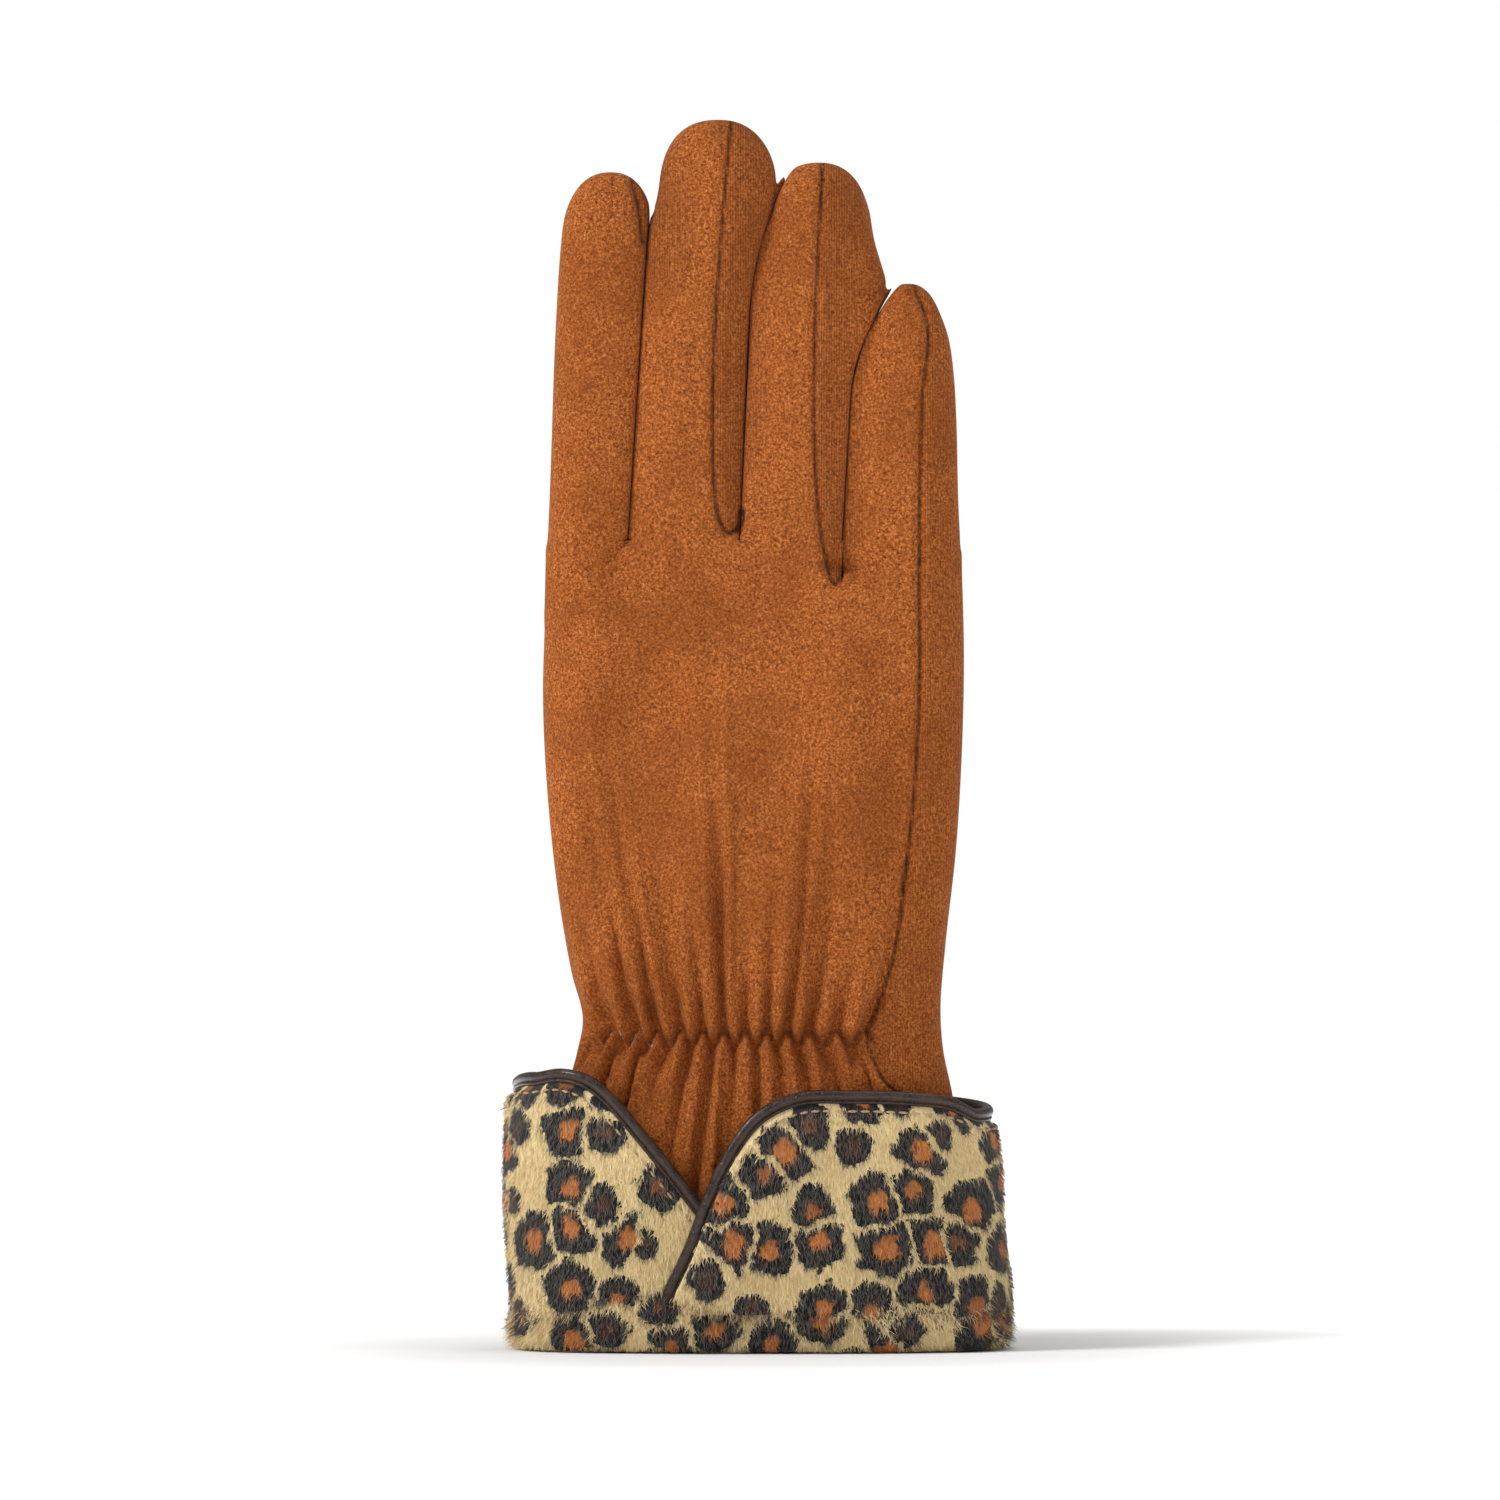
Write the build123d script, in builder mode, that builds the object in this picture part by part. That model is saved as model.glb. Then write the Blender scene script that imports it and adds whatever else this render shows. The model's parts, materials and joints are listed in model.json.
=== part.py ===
"""Right-hand touchscreen glove in suede-faced knit with a turned-back fur cuff, in the shape it has when worn.

Frame, in millimetres: the origin is the centre of the hand opening, at the cuff's lower fold. +Z runs along the
fingers, -Y is the back of the hand, +Y the palm and +X the little finger's side. The thumb lies folded over the palm.

The fabric is cut into stiff-enough lengths between the finger joints, with a short fold sleeve round each joint.
"""

import os
from math import asin, cos, radians, sin, sqrt, tan

from build123d import *

os.makedirs("parts", exist_ok=True)

# ---------------------------------------------------------------- fabric layers
SUEDE = 1.3  # outer suede-faced knit
LINING = 1.2  # fleece lining
LAYER_GAP = 0.15  # air between the two layers
SEAM_GAP = 0.3  # half the air between two neighbouring fingers
FOLD_CLEARANCE = 0.6  # spare length of a fold sleeve beyond what its joint needs
RUNNING_GAP = 0.3  # between the thumb and the hem it turns on
CUT_SPARE = 1.0  # how far a cutting solid runs past the face it cuts
LINING_OUTSIDE = SUEDE + LAYER_GAP
FABRIC = LINING_OUTSIDE + LINING  # from the outside to the hand's cavity

# ---------------------------------------------------------------- joints
KNUCKLE_BEND = 75  # degrees that a finger bends at its knuckle
MIDDLE_BEND = 85  # degrees that it bends at its middle joint
THUMB_BEND = 60  # degrees that the thumb bends at its own joint

# ---------------------------------------------------------------- hand
# Sections of the hand from the cuff's fold to the finger roots: height, left edge, right edge, depth.
HAND_SECTIONS = (
    (0, -44.8, 46.2, 36),
    (30, -42.0, 44.0, 33),
    (50, -37.6, 40.0, 29),
    (63, -34.2, 37.4, 25),
    (80, -37.6, 38.4, 26),
    (110, -41.6, 41.2, 26),
    (130, -42.5, 41.9, 26),
    (153, -42.0, 41.6, 20),
)
CORNER_SHARE = 0.42  # a section's corner radius as a share of its depth
HAND_TOP = HAND_SECTIONS[-1][0]
HEM_Z = 2.0  # the glove's own hem, which stands on the floor of the cuff's fold
PALM_Y = HAND_SECTIONS[5][3] / 2  # the palm's flat outer face
# The side seam joins the side panel to the back on the little finger's side: x, z from the finger root to the hem.
SIDE_SEAM = ((33, 170), (33, 130), (30, 94), (23, 64), (29, 48), (30, -5))
PALM_SEAM_X = 33.0  # where the little finger's side panel meets the palm
WRIST_Z = 63.0  # where the gauntlet meets the hand
PALM_TOP_Z = 150.0  # where the palm meets the finger roots

# ---------------------------------------------------------------- fingers
ROOT_Z, TIP_LEVEL_Z = 160, 235  # the two heights at which finger centres and gaps are given
FORM_LOW_Z = 148  # where a finger's form starts, inside the hand
GAPS = {  # x of the gap between two fingers at those heights
    "index_middle": (-26.0, -20.3),
    "middle_ring": (-2.9, 0.3),
    "ring_little": (17.6, 22.1),
}
DOME_SHARE = 1.25  # a fingertip's height as a share of the finger's half width
FOURCHETTE_HALF = 5.5  # half the width of the strip at a finger's side
SEAM_OFFSET = 4.0  # from a finger's centre line to where that strip may start
LANE_SPARE = 5  # how far a finger's lane runs past both of its ends
FAR = 90  # beyond the glove on any side


def between(pair, z):
    """The value at height z of a line given at the two reference heights."""
    low, high = pair
    return low + (high - low) * (z - ROOT_Z) / (TIP_LEVEL_Z - ROOT_Z)


class Finger:
    def __init__(self, name, centre, half_width, half_depth, knuckle_z, middle_z, tip_z, gaps, strips):
        self.name = name
        self.centre_line = centre
        self.half_width = half_width
        self.half_depth = half_depth
        self.knuckle_z = knuckle_z
        self.middle_z = middle_z
        self.tip_z = tip_z
        self.gaps = gaps  # names of the gaps on its left and right, or None
        self.strips = strips  # sides with a fourchette: -1 left, 1 right
        self.dome_height = DOME_SHARE * half_width
        self.knuckle_half = fold_half(half_depth, KNUCKLE_BEND)
        self.middle_half = fold_half(half_depth, MIDDLE_BEND)

    def centre(self, z):
        return between(self.centre_line, z)


def fold_half(half_depth, bend):
    """Half the length of the sleeve that a joint needs to bend that far without its two ends meeting."""
    return half_depth * tan(radians(bend / 2)) + FOLD_CLEARANCE


FINGERS = (
    Finger("index", (-33.0, -28.6), 8.9, 8.0, 168, 205, 236.0, (None, "index_middle"), (1,)),
    Finger("middle", (-14.2, -7.6), 11.6, 8.5, 168, 209, 246.6, ("index_middle", "middle_ring"), (-1, 1)),
    Finger("ring", (7.8, 12.6), 12.0, 8.3, 168, 205, 238.0, ("middle_ring", "ring_little"), (-1, 1)),
    Finger("little", (29.6, 31.2), 11.6, 7.6, 160, 187, 213.8, ("ring_little", None), (-1,)),
)
LITTLE_ROOT_Z = FINGERS[3].knuckle_z - FINGERS[3].knuckle_half  # where the little finger leaves the hand
OTHER_ROOT_Z = min(f.knuckle_z - f.knuckle_half for f in FINGERS[:3])  # and the other three
ROOT_TOPS = {f.name: LITTLE_ROOT_Z if f.name == "little" else OTHER_ROOT_Z for f in FINGERS}

# ---------------------------------------------------------------- thumb
THUMB_ROOT = (-22.0, 86.0)  # x, z of the centre of the thumb hole
THUMB_LEAN = 8  # degrees from upright, towards the middle of the palm
THUMB_LENGTH = 68
THUMB_HALF_WIDTHS = (10.3, 9.2)  # at the root and at the tip
THUMB_HALF_DEPTH = 8.3
THUMB_JOINT = 38  # from the root to the thumb's own joint
HUB_RADIUS, HUB_HEIGHT = 14.0, 17.8  # the bulge that turns over the thumb hole
HOLE_RADIUS = HUB_RADIUS - FABRIC - LAYER_GAP
HEM_THICKNESS = 1.1
HEM_SEAT = 0.05  # air between the hem and the palm
HEM_INSET, HEM_RIM = 0.2, 0.1  # from the hub's edge in to the hem, and from the hem in to the hole
HUB_BASE_Y = PALM_Y + HEM_SEAT + HEM_THICKNESS + RUNNING_GAP
THUMB_Y = HUB_BASE_Y + THUMB_HALF_DEPTH + RUNNING_GAP
THUMB_FOLD_HALF = fold_half(THUMB_HALF_WIDTHS[0], THUMB_BEND)

# ---------------------------------------------------------------- touch pads, elastic and label
PAD_THICKNESS, PAD_SEAT = 0.4, 0.05
PAD_SIZE = (11.0, 15.0)  # width, length
PAD_CORNER_SHARE = 0.45  # of the pad's width
PAD_DROP = 1.0  # from the foot of the fingertip's dome down to the pad's centre
ELASTIC_Z, ELASTIC_HEIGHT = 63.0, 5.0
ELASTIC_X = (-32.5, 22.0)
ELASTIC_THICKNESS = 0.6
LABEL = (13.0, 0.4, 14.0)  # width, thickness, length
LABEL_X, LABEL_CORNER = 20.0, 1.0

# ---------------------------------------------------------------- cuff
CUFF_CENTRE_X = 0.7
CUFF_WIDTH, CUFF_DEPTH, CUFF_CORNER = 100.4, 46.0, 22.0
CUFF_WALL = 3.2
BAND_HEIGHT = 10.0  # unsplit band above the fold
FACING_HEIGHT, FACING_THICKNESS = 20.0, 1.5
# Free edges of the two flaps on the back of the hand, x, z, from the vent's foot to the side.
RIGHT_SIDE_X, LEFT_SIDE_X = CUFF_CENTRE_X + CUFF_WIDTH / 2, CUFF_CENTRE_X - CUFF_WIDTH / 2
RIGHT_EDGE = (
    (-18, 10), (-13, 20), (-9, 30), (-4, 41), (1, 47), (9, 50.6), (29, 50), (41, 48.6), (RIGHT_SIDE_X, 45.4)
)
LEFT_EDGE = ((-6, 22), (-12, 29), (-23, 43), (-31, 52), (-39, 55), (LEFT_SIDE_X, 53))
FLAP_OVERRUN = 4.0  # how far a flap's front outline runs down past the band's top
PIPING_WIDTH, PIPING_THICKNESS, PIPING_WRAP = 2.2, 2.4, 0.5
FLAP_GAP = 0.3
STITCH_LENGTH, STITCH_WIDTH, STITCH_HEIGHT, STITCH_PITCH = 2.0, 0.5, 0.35, 3.2
STITCH_INSET = 1.8  # from a flap's free edge
STITCH_SEAT = 0.1  # air between a stitch and the fur
STITCHED_SHARE = 0.92  # of the cuff's half width, where the stitching ends at its sides


def save(builder, label):
    builder.part.label = label
    export_step(builder.part, f"parts/{label}.step")


# ---------------------------------------------------------------- shared forms
def prism(points, half_depth=FAR):
    """An upright plate seen from the front: a closed outline in x, z, with equal depth each side of y = 0."""
    with BuildPart(mode=Mode.PRIVATE) as plate:
        with BuildSketch(Plane.XZ):
            with BuildLine():
                Polyline(*points, close=True)
            make_face()
        extrude(amount=half_depth, both=True)
    return plate.part


def slice_z(low, high):
    return prism(((-FAR, low), (FAR, low), (FAR, high), (-FAR, high)))


def domed_tube(low_width, high_width, half_depth, length, dome):
    """An oval tube standing on z = 0 with a domed end, as a solid of half widths along x and half depth along y."""
    with BuildPart(mode=Mode.PRIVATE) as tube:
        with BuildSketch(Plane.XZ):
            with BuildLine():
                Polyline((0, 0), (low_width, 0), (high_width, length - dome))
                EllipticalCenterArc((0, length - dome), high_width, dome, start_angle=0, arc_size=90)
                Line((0, length), (0, 0))
            make_face()
        revolve(axis=Axis.Z)
    return tube.part.transform_geometry(Matrix([[1, 0, 0, 0], [0, half_depth / low_width, 0, 0], [0, 0, 1, 0]]))


def finger_loft(f, inset):
    """A finger as a solid, its outside moved in by inset, from inside the hand to the tip."""
    half_width, half_depth = f.half_width - inset, f.half_depth - inset
    length = f.tip_z - inset - FORM_LOW_Z
    tube = domed_tube(half_width, half_width, half_depth, length, f.dome_height - inset)
    lean = (f.centre(f.tip_z) - f.centre(FORM_LOW_Z)) / (f.tip_z - FORM_LOW_Z)
    leaning = tube.transform_geometry(Matrix([[1, 0, lean, 0], [0, 1, 0, 0], [0, 0, 1, 0]]))
    return Pos(f.centre(FORM_LOW_Z), 0, FORM_LOW_Z) * leaning


def lane(f, inset):
    """The space between the two gaps that a finger keeps to."""
    low, high = FORM_LOW_Z - LANE_SPARE, f.tip_z + LANE_SPARE

    def edge(gap, side, z):
        if gap is None:
            return side * FAR
        return between(GAPS[gap], z) - side * (SEAM_GAP + inset)

    left, right = f.gaps
    return prism(
        ((edge(left, -1, low), low), (edge(right, 1, low), low), (edge(right, 1, high), high), (edge(left, -1, high), high))
    )


def finger_solid(f, inset):
    """A finger kept to its lane."""
    with BuildPart(mode=Mode.PRIVATE) as solid:
        add(finger_loft(f, inset))
        add(lane(f, inset), mode=Mode.INTERSECT)
    return solid.part


def finger_wall(f, low, high, outside, inside):
    """A layer of a finger between two insets and two heights, with the tip closed where the slice reaches it."""
    with BuildPart(mode=Mode.PRIVATE) as wall:
        add(finger_solid(f, outside))
        add(finger_solid(f, inside), mode=Mode.SUBTRACT)
        add(slice_z(low, high), mode=Mode.INTERSECT)
    return wall.part


def strip_zone(f, side):
    """The space at one side of a finger that its fourchette fills."""
    low, high = FORM_LOW_Z, f.tip_z + LANE_SPARE
    inner = [f.centre(z) + side * SEAM_OFFSET for z in (low, high)]
    outer = [f.centre(z) + side * 2 * f.half_width for z in (low, high)]
    return prism(((inner[0], low), (outer[0], low), (outer[1], high), (inner[1], high)), FOURCHETTE_HALF)


def hand_slab(inset, low, high):
    with BuildPart(mode=Mode.PRIVATE) as slab:
        for z, left, right, depth in HAND_SECTIONS:
            with BuildSketch(Plane.XY.offset(z)):
                with Locations(((left + right) / 2, 0)):
                    RectangleRounded(right - left - 2 * inset, depth - 2 * inset, CORNER_SHARE * depth - inset)
        loft(ruled=True)
        add(slice_z(low, high), mode=Mode.INTERSECT)
    return slab.part


def finger_root(f, inset):
    """The foot of a finger that belongs to the hand, with the ring finger's kept off the little finger's lane."""
    with BuildPart(mode=Mode.PRIVATE) as root:
        add(finger_loft(f, inset))
        add(slice_z(FORM_LOW_Z, ROOT_TOPS[f.name]), mode=Mode.INTERSECT)
        if f.name == "ring":
            crotch_x = between(GAPS["ring_little"], ROOT_Z) - SEAM_GAP - inset
            low, high = LITTLE_ROOT_Z, 2 * FAR
            add(prism(((crotch_x, low), (FAR, low), (FAR, high), (crotch_x, high))), mode=Mode.SUBTRACT)
    return root.part


def hand_form(inset):
    """The palm with its four finger roots as a solid, its outside moved in by inset."""
    with BuildPart(mode=Mode.PRIVATE) as form:
        add(hand_slab(inset, HEM_Z, HAND_TOP - inset))
        for f in FINGERS:
            add(finger_root(f, inset))
    return form.part


# ---------------------------------------------------------------- hand: back, palm, lining
outside_form = hand_form(0)
suede_core = hand_form(SUEDE)
lining_form = hand_form(LINING_OUTSIDE)
cavity_form = hand_form(FABRIC)

back_outline = (*SIDE_SEAM, (-FAR, SIDE_SEAM[-1][1]), (-FAR, SIDE_SEAM[0][1]))
with BuildPart() as back_zone:
    add(prism(back_outline))
    with Locations((0, FAR, 0)):
        Box(4 * FAR, 2 * FAR, 8 * FAR, mode=Mode.SUBTRACT)

with BuildPart() as thumb_hole:
    with BuildSketch(Plane.XZ):
        with Locations(THUMB_ROOT):
            Circle(HOLE_RADIUS)
    extrude(amount=-2 * PALM_Y)

with BuildPart() as palm_zone:
    add(prism(((-FAR, -FAR), (PALM_SEAM_X, -FAR), (PALM_SEAM_X, FAR * 3), (-FAR, FAR * 3))))
    with Locations((0, -FAR, 0)):
        Box(4 * FAR, 2 * FAR, 8 * FAR, mode=Mode.SUBTRACT)

gauntlet_slice = slice_z(-FAR, WRIST_Z)
with BuildPart() as back_gauntlet:
    add(outside_form)
    add(suede_core, mode=Mode.SUBTRACT)
    add(back_zone.part, mode=Mode.INTERSECT)
    add(gauntlet_slice, mode=Mode.INTERSECT)
save(back_gauntlet, "back_gauntlet")

with BuildPart() as back_panel:
    add(outside_form)
    add(suede_core, mode=Mode.SUBTRACT)
    add(back_zone.part, mode=Mode.INTERSECT)
    add(gauntlet_slice, mode=Mode.SUBTRACT)
save(back_panel, "back_panel")

with BuildPart() as palm_gauntlet:
    add(outside_form)
    add(suede_core, mode=Mode.SUBTRACT)
    add(palm_zone.part, mode=Mode.INTERSECT)
    add(gauntlet_slice, mode=Mode.INTERSECT)
save(palm_gauntlet, "palm_gauntlet")

with BuildPart() as palm_panel:
    add(outside_form)
    add(suede_core, mode=Mode.SUBTRACT)
    add(palm_zone.part, mode=Mode.INTERSECT)
    add(slice_z(WRIST_Z, PALM_TOP_Z), mode=Mode.INTERSECT)
    add(thumb_hole.part, mode=Mode.SUBTRACT)
save(palm_panel, "palm_panel")

with BuildPart() as side_panel:
    add(outside_form)
    add(suede_core, mode=Mode.SUBTRACT)
    add(back_zone.part, mode=Mode.SUBTRACT)
    add(palm_zone.part, mode=Mode.SUBTRACT)
    add(slice_z(-FAR, PALM_TOP_Z), mode=Mode.INTERSECT)
save(side_panel, "side_panel")

with BuildPart() as palm_finger_roots:
    add(outside_form)
    add(suede_core, mode=Mode.SUBTRACT)
    add(back_zone.part, mode=Mode.SUBTRACT)
    add(slice_z(-FAR, PALM_TOP_Z), mode=Mode.SUBTRACT)
save(palm_finger_roots, "palm_finger_roots")


def elastic_form(outside, inside, margin):
    """The gathering elastic on the back of the wrist, grown by margin where the lining makes room for it."""
    with BuildPart(mode=Mode.PRIVATE) as strip:
        add(hand_slab(outside, HEM_Z, HAND_TOP))
        add(hand_slab(inside, HEM_Z, HAND_TOP), mode=Mode.SUBTRACT)
        width = ELASTIC_X[1] - ELASTIC_X[0] + 2 * margin
        with Locations((sum(ELASTIC_X) / 2, -FAR / 2, ELASTIC_Z)):
            Box(width, FAR, ELASTIC_HEIGHT + 2 * margin, mode=Mode.INTERSECT)
    return strip.part


with BuildPart() as wrist_elastic:
    add(elastic_form(LINING_OUTSIDE, LINING_OUTSIDE + ELASTIC_THICKNESS, 0))
save(wrist_elastic, "wrist_elastic")

with BuildPart() as hand_lining:
    add(lining_form)
    add(cavity_form, mode=Mode.SUBTRACT)
    add(thumb_hole.part, mode=Mode.SUBTRACT)
    add(elastic_form(SUEDE, LINING_OUTSIDE + ELASTIC_THICKNESS + LAYER_GAP, LAYER_GAP), mode=Mode.SUBTRACT)
save(hand_lining, "hand_lining")

with BuildPart() as thumb_hole_hem:
    with BuildSketch(Plane.XZ.offset(-PALM_Y - HEM_SEAT)):
        with Locations(THUMB_ROOT):
            Circle(HUB_RADIUS - HEM_INSET)
            Circle(HOLE_RADIUS + HEM_RIM, mode=Mode.SUBTRACT)
    extrude(amount=-HEM_THICKNESS)
save(thumb_hole_hem, "thumb_hole_hem")

facing_inset = FABRIC + LAYER_GAP
with BuildPart() as facing_end:
    add(hand_slab(facing_inset + FACING_THICKNESS, 0, FACING_HEIGHT))
label_y = facing_end.faces().sort_by(Axis.Z)[-1].bounding_box().max.Y + LABEL[1]
with BuildPart() as care_label:
    with Locations((LABEL_X, label_y, FACING_HEIGHT + LABEL[2] / 2)):
        Box(*LABEL)
    fillet(care_label.edges().filter_by(Axis.Y).group_by(Axis.Z)[-1], LABEL_CORNER)
save(care_label, "care_label")

# ---------------------------------------------------------------- fingers
def touch_pad(outer, seated, centre, angle=0):
    """A thin patch on the palm side of a fingertip, between two forms, cut to a rounded outline."""
    x, y, z = centre
    with BuildPart(mode=Mode.PRIVATE) as pad:
        add(outer)
        add(seated, mode=Mode.SUBTRACT)
        with BuildSketch(Plane.XZ.offset(-y), mode=Mode.PRIVATE) as outline:
            with Locations(Location((x, z), angle)):
                RectangleRounded(*PAD_SIZE, PAD_SIZE[0] * PAD_CORNER_SHARE)
        add(extrude(outline.sketch, amount=-FAR, mode=Mode.PRIVATE), mode=Mode.INTERSECT)
    return pad


for f in FINGERS:
    lengths = {
        "base": (f.knuckle_z + f.knuckle_half, f.middle_z - f.middle_half),
        "tip": (f.middle_z + f.middle_half, f.tip_z + CUT_SPARE),
    }
    for part_name, (low, high) in lengths.items():
        outer = finger_wall(f, low, high, 0, SUEDE)
        with BuildPart() as suede:
            add(outer)
            for side in f.strips:
                add(strip_zone(f, side), mode=Mode.SUBTRACT)
        save(suede, f"{f.name}_{part_name}_suede")
        with BuildPart() as fourchette:
            for side in f.strips:
                add(outer.intersect(strip_zone(f, side)))
        save(fourchette, f"{f.name}_{part_name}_fourchette")
        with BuildPart() as lining:
            add(finger_wall(f, low, high, LINING_OUTSIDE, FABRIC))
        save(lining, f"{f.name}_{part_name}_lining")
    for joint_name, low, high in (
        ("knuckle", ROOT_TOPS[f.name], f.knuckle_z + f.knuckle_half),
        ("middle", f.middle_z - f.middle_half, f.middle_z + f.middle_half),
    ):
        with BuildPart() as sleeve:
            add(finger_wall(f, low, high, 0, FABRIC))
        save(sleeve, f"{f.name}_{joint_name}_fold")

index = FINGERS[0]
pad_z = index.tip_z - index.dome_height - PAD_DROP
index_pad = touch_pad(
    finger_loft(index, -PAD_SEAT - PAD_THICKNESS), finger_loft(index, -PAD_SEAT), (index.centre(pad_z), 0, pad_z)
)
save(index_pad, "index_touch_pad")

# ---------------------------------------------------------------- thumb
lean = radians(THUMB_LEAN)
THUMB_PLANE = Plane(
    origin=(THUMB_ROOT[0], THUMB_Y, THUMB_ROOT[1]), x_dir=(cos(lean), 0, -sin(lean)), z_dir=(sin(lean), 0, cos(lean))
)


def thumb_tube(inset):
    low_width, high_width = (width - inset for width in THUMB_HALF_WIDTHS)
    dome = DOME_SHARE * high_width
    return THUMB_PLANE.location * domed_tube(low_width, high_width, THUMB_HALF_DEPTH - inset, THUMB_LENGTH - inset, dome)


def thumb_form(inset, below):
    """The thumb as a solid: a domed hub over the thumb hole with the tube rising from it. The hub starts that far
    below its base."""
    radius, height = HUB_RADIUS - inset, HUB_HEIGHT - inset
    foot = Plane(origin=(THUMB_ROOT[0], HUB_BASE_Y - below, THUMB_ROOT[1]), x_dir=(1, 0, 0), z_dir=(0, 1, 0))
    with BuildPart(mode=Mode.PRIVATE) as form:
        add(foot.location * domed_tube(radius, radius, radius, height + below, height))
        add(thumb_tube(inset))
    return form.part


def thumb_slice(low, high):
    """The space between two stations along the thumb."""
    with BuildPart(mode=Mode.PRIVATE) as block:
        with BuildSketch(THUMB_PLANE.offset(low)):
            Rectangle(FAR, FAR)
        extrude(amount=high - low)
    return block.part


def thumb_wall(low, high, outside, inside):
    with BuildPart(mode=Mode.PRIVATE) as wall:
        add(thumb_form(outside, CUT_SPARE))
        add(thumb_form(inside, 2 * CUT_SPARE), mode=Mode.SUBTRACT)
        add(thumb_slice(low, high), mode=Mode.INTERSECT)
        with Locations((0, HUB_BASE_Y - FAR / 2, 0)):
            Box(4 * FAR, FAR, 8 * FAR, mode=Mode.SUBTRACT)
    return wall


thumb_lengths = {
    "base": (-2 * HUB_RADIUS, THUMB_JOINT - THUMB_FOLD_HALF),
    "tip": (THUMB_JOINT + THUMB_FOLD_HALF, THUMB_LENGTH + CUT_SPARE),
}
for part_name, (low, high) in thumb_lengths.items():
    save(thumb_wall(low, high, 0, SUEDE), f"thumb_{part_name}_suede")
    save(thumb_wall(low, high, LINING_OUTSIDE, FABRIC), f"thumb_{part_name}_lining")
save(thumb_wall(THUMB_JOINT - THUMB_FOLD_HALF, THUMB_JOINT + THUMB_FOLD_HALF, 0, FABRIC), "thumb_middle_fold")

pad_s = THUMB_LENGTH - DOME_SHARE * THUMB_HALF_WIDTHS[1] - PAD_DROP
pad_centre = THUMB_PLANE.from_local_coords((0, 0, pad_s))
thumb_pad = touch_pad(
    thumb_tube(-PAD_SEAT - PAD_THICKNESS), thumb_tube(-PAD_SEAT), pad_centre, -THUMB_LEAN
)
save(thumb_pad, "thumb_touch_pad")


# ---------------------------------------------------------------- cuff
def cuff_tube(inset, low, high):
    """The cuff's outline as a solid, its outside moved in by inset."""
    with BuildPart(mode=Mode.PRIVATE) as tube:
        with BuildSketch(Plane.XY.offset(low)):
            with Locations((CUFF_CENTRE_X, 0)):
                RectangleRounded(CUFF_WIDTH - 2 * inset, CUFF_DEPTH - 2 * inset, CUFF_CORNER - inset)
        extrude(amount=high - low)
    return tube.part


with BuildPart() as cuff_band:
    add(cuff_tube(0, 0, BAND_HEIGHT))
    add(cuff_tube(CUFF_WALL, HEM_Z, BAND_HEIGHT), mode=Mode.SUBTRACT)
    add(hand_slab(facing_inset + FACING_THICKNESS, 0, FACING_HEIGHT), mode=Mode.SUBTRACT)
save(cuff_band, "cuff_band")

with BuildPart() as cuff_facing:
    add(hand_slab(facing_inset, HEM_Z, FACING_HEIGHT))
    add(hand_slab(facing_inset + FACING_THICKNESS, 0, FACING_HEIGHT), mode=Mode.SUBTRACT)
save(cuff_facing, "cuff_facing")


def flap_outline(edge, side):
    """The front outline of a flap: its free edge, closed beyond the side of the cuff and below the band's top."""
    low = BAND_HEIGHT - FLAP_OVERRUN
    with BuildSketch(mode=Mode.PRIVATE) as outline:
        with BuildLine():
            Polyline(*edge)
            Polyline(edge[-1], (side * FAR, edge[-1][1]), (side * FAR, low), (edge[0][0], low), edge[0])
        make_face()
    return outline.sketch


def back_outline_of(side, rise):
    """The palm side's outline of a flap, up to its top edge moved up by rise."""
    left, right = LEFT_EDGE[-1][1] + rise, RIGHT_EDGE[-1][1] + rise
    centre_top = (CUFF_CENTRE_X, (left + right) / 2)
    edge_x, top = (RIGHT_SIDE_X, right) if side > 0 else (LEFT_SIDE_X, left)
    low = BAND_HEIGHT - CUT_SPARE
    return (centre_top, (edge_x, top), (side * FAR, top), (side * FAR, low), (CUFF_CENTRE_X, low))


def front_solid(sketch):
    """A front outline in x, z made solid over the back of the hand."""
    with BuildPart(mode=Mode.PRIVATE) as block:
        with BuildSketch(Plane.XZ):
            add(sketch)
        extrude(amount=FAR)
    return block.part


def back_solid(points):
    """An outline in x, z made solid over the palm side."""
    with BuildPart(mode=Mode.PRIVATE) as block:
        with BuildSketch(Plane.XZ):
            with BuildLine():
                Polyline(*points, close=True)
            make_face()
        extrude(amount=-FAR)
    return block.part


def flap_zone(sketch, points):
    with BuildPart(mode=Mode.PRIVATE) as zone:
        add(front_solid(sketch))
        add(back_solid(points))
    return zone.part


def grown(sketch, amount):
    with BuildSketch(mode=Mode.PRIVATE) as larger:
        add(sketch)
        offset(amount=amount, kind=Kind.INTERSECTION)
    return larger.sketch


def less(sketch, taken):
    with BuildSketch(mode=Mode.PRIVATE) as rest:
        add(sketch)
        if taken is not None:
            add(taken, mode=Mode.SUBTRACT)
    return rest.sketch


def cuff_y(x):
    """y of the cuff's outer face on the back of the hand at x, and how far its normal turns from -y, in radians."""
    flat = CUFF_WIDTH / 2 - CUFF_CORNER
    along = max(abs(x - CUFF_CENTRE_X) - flat, 0)
    turned = asin(min(along / CUFF_CORNER, 1))
    return -(CUFF_DEPTH / 2 - CUFF_CORNER) - CUFF_CORNER * cos(turned), turned * (1 if x > CUFF_CENTRE_X else -1)


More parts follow.
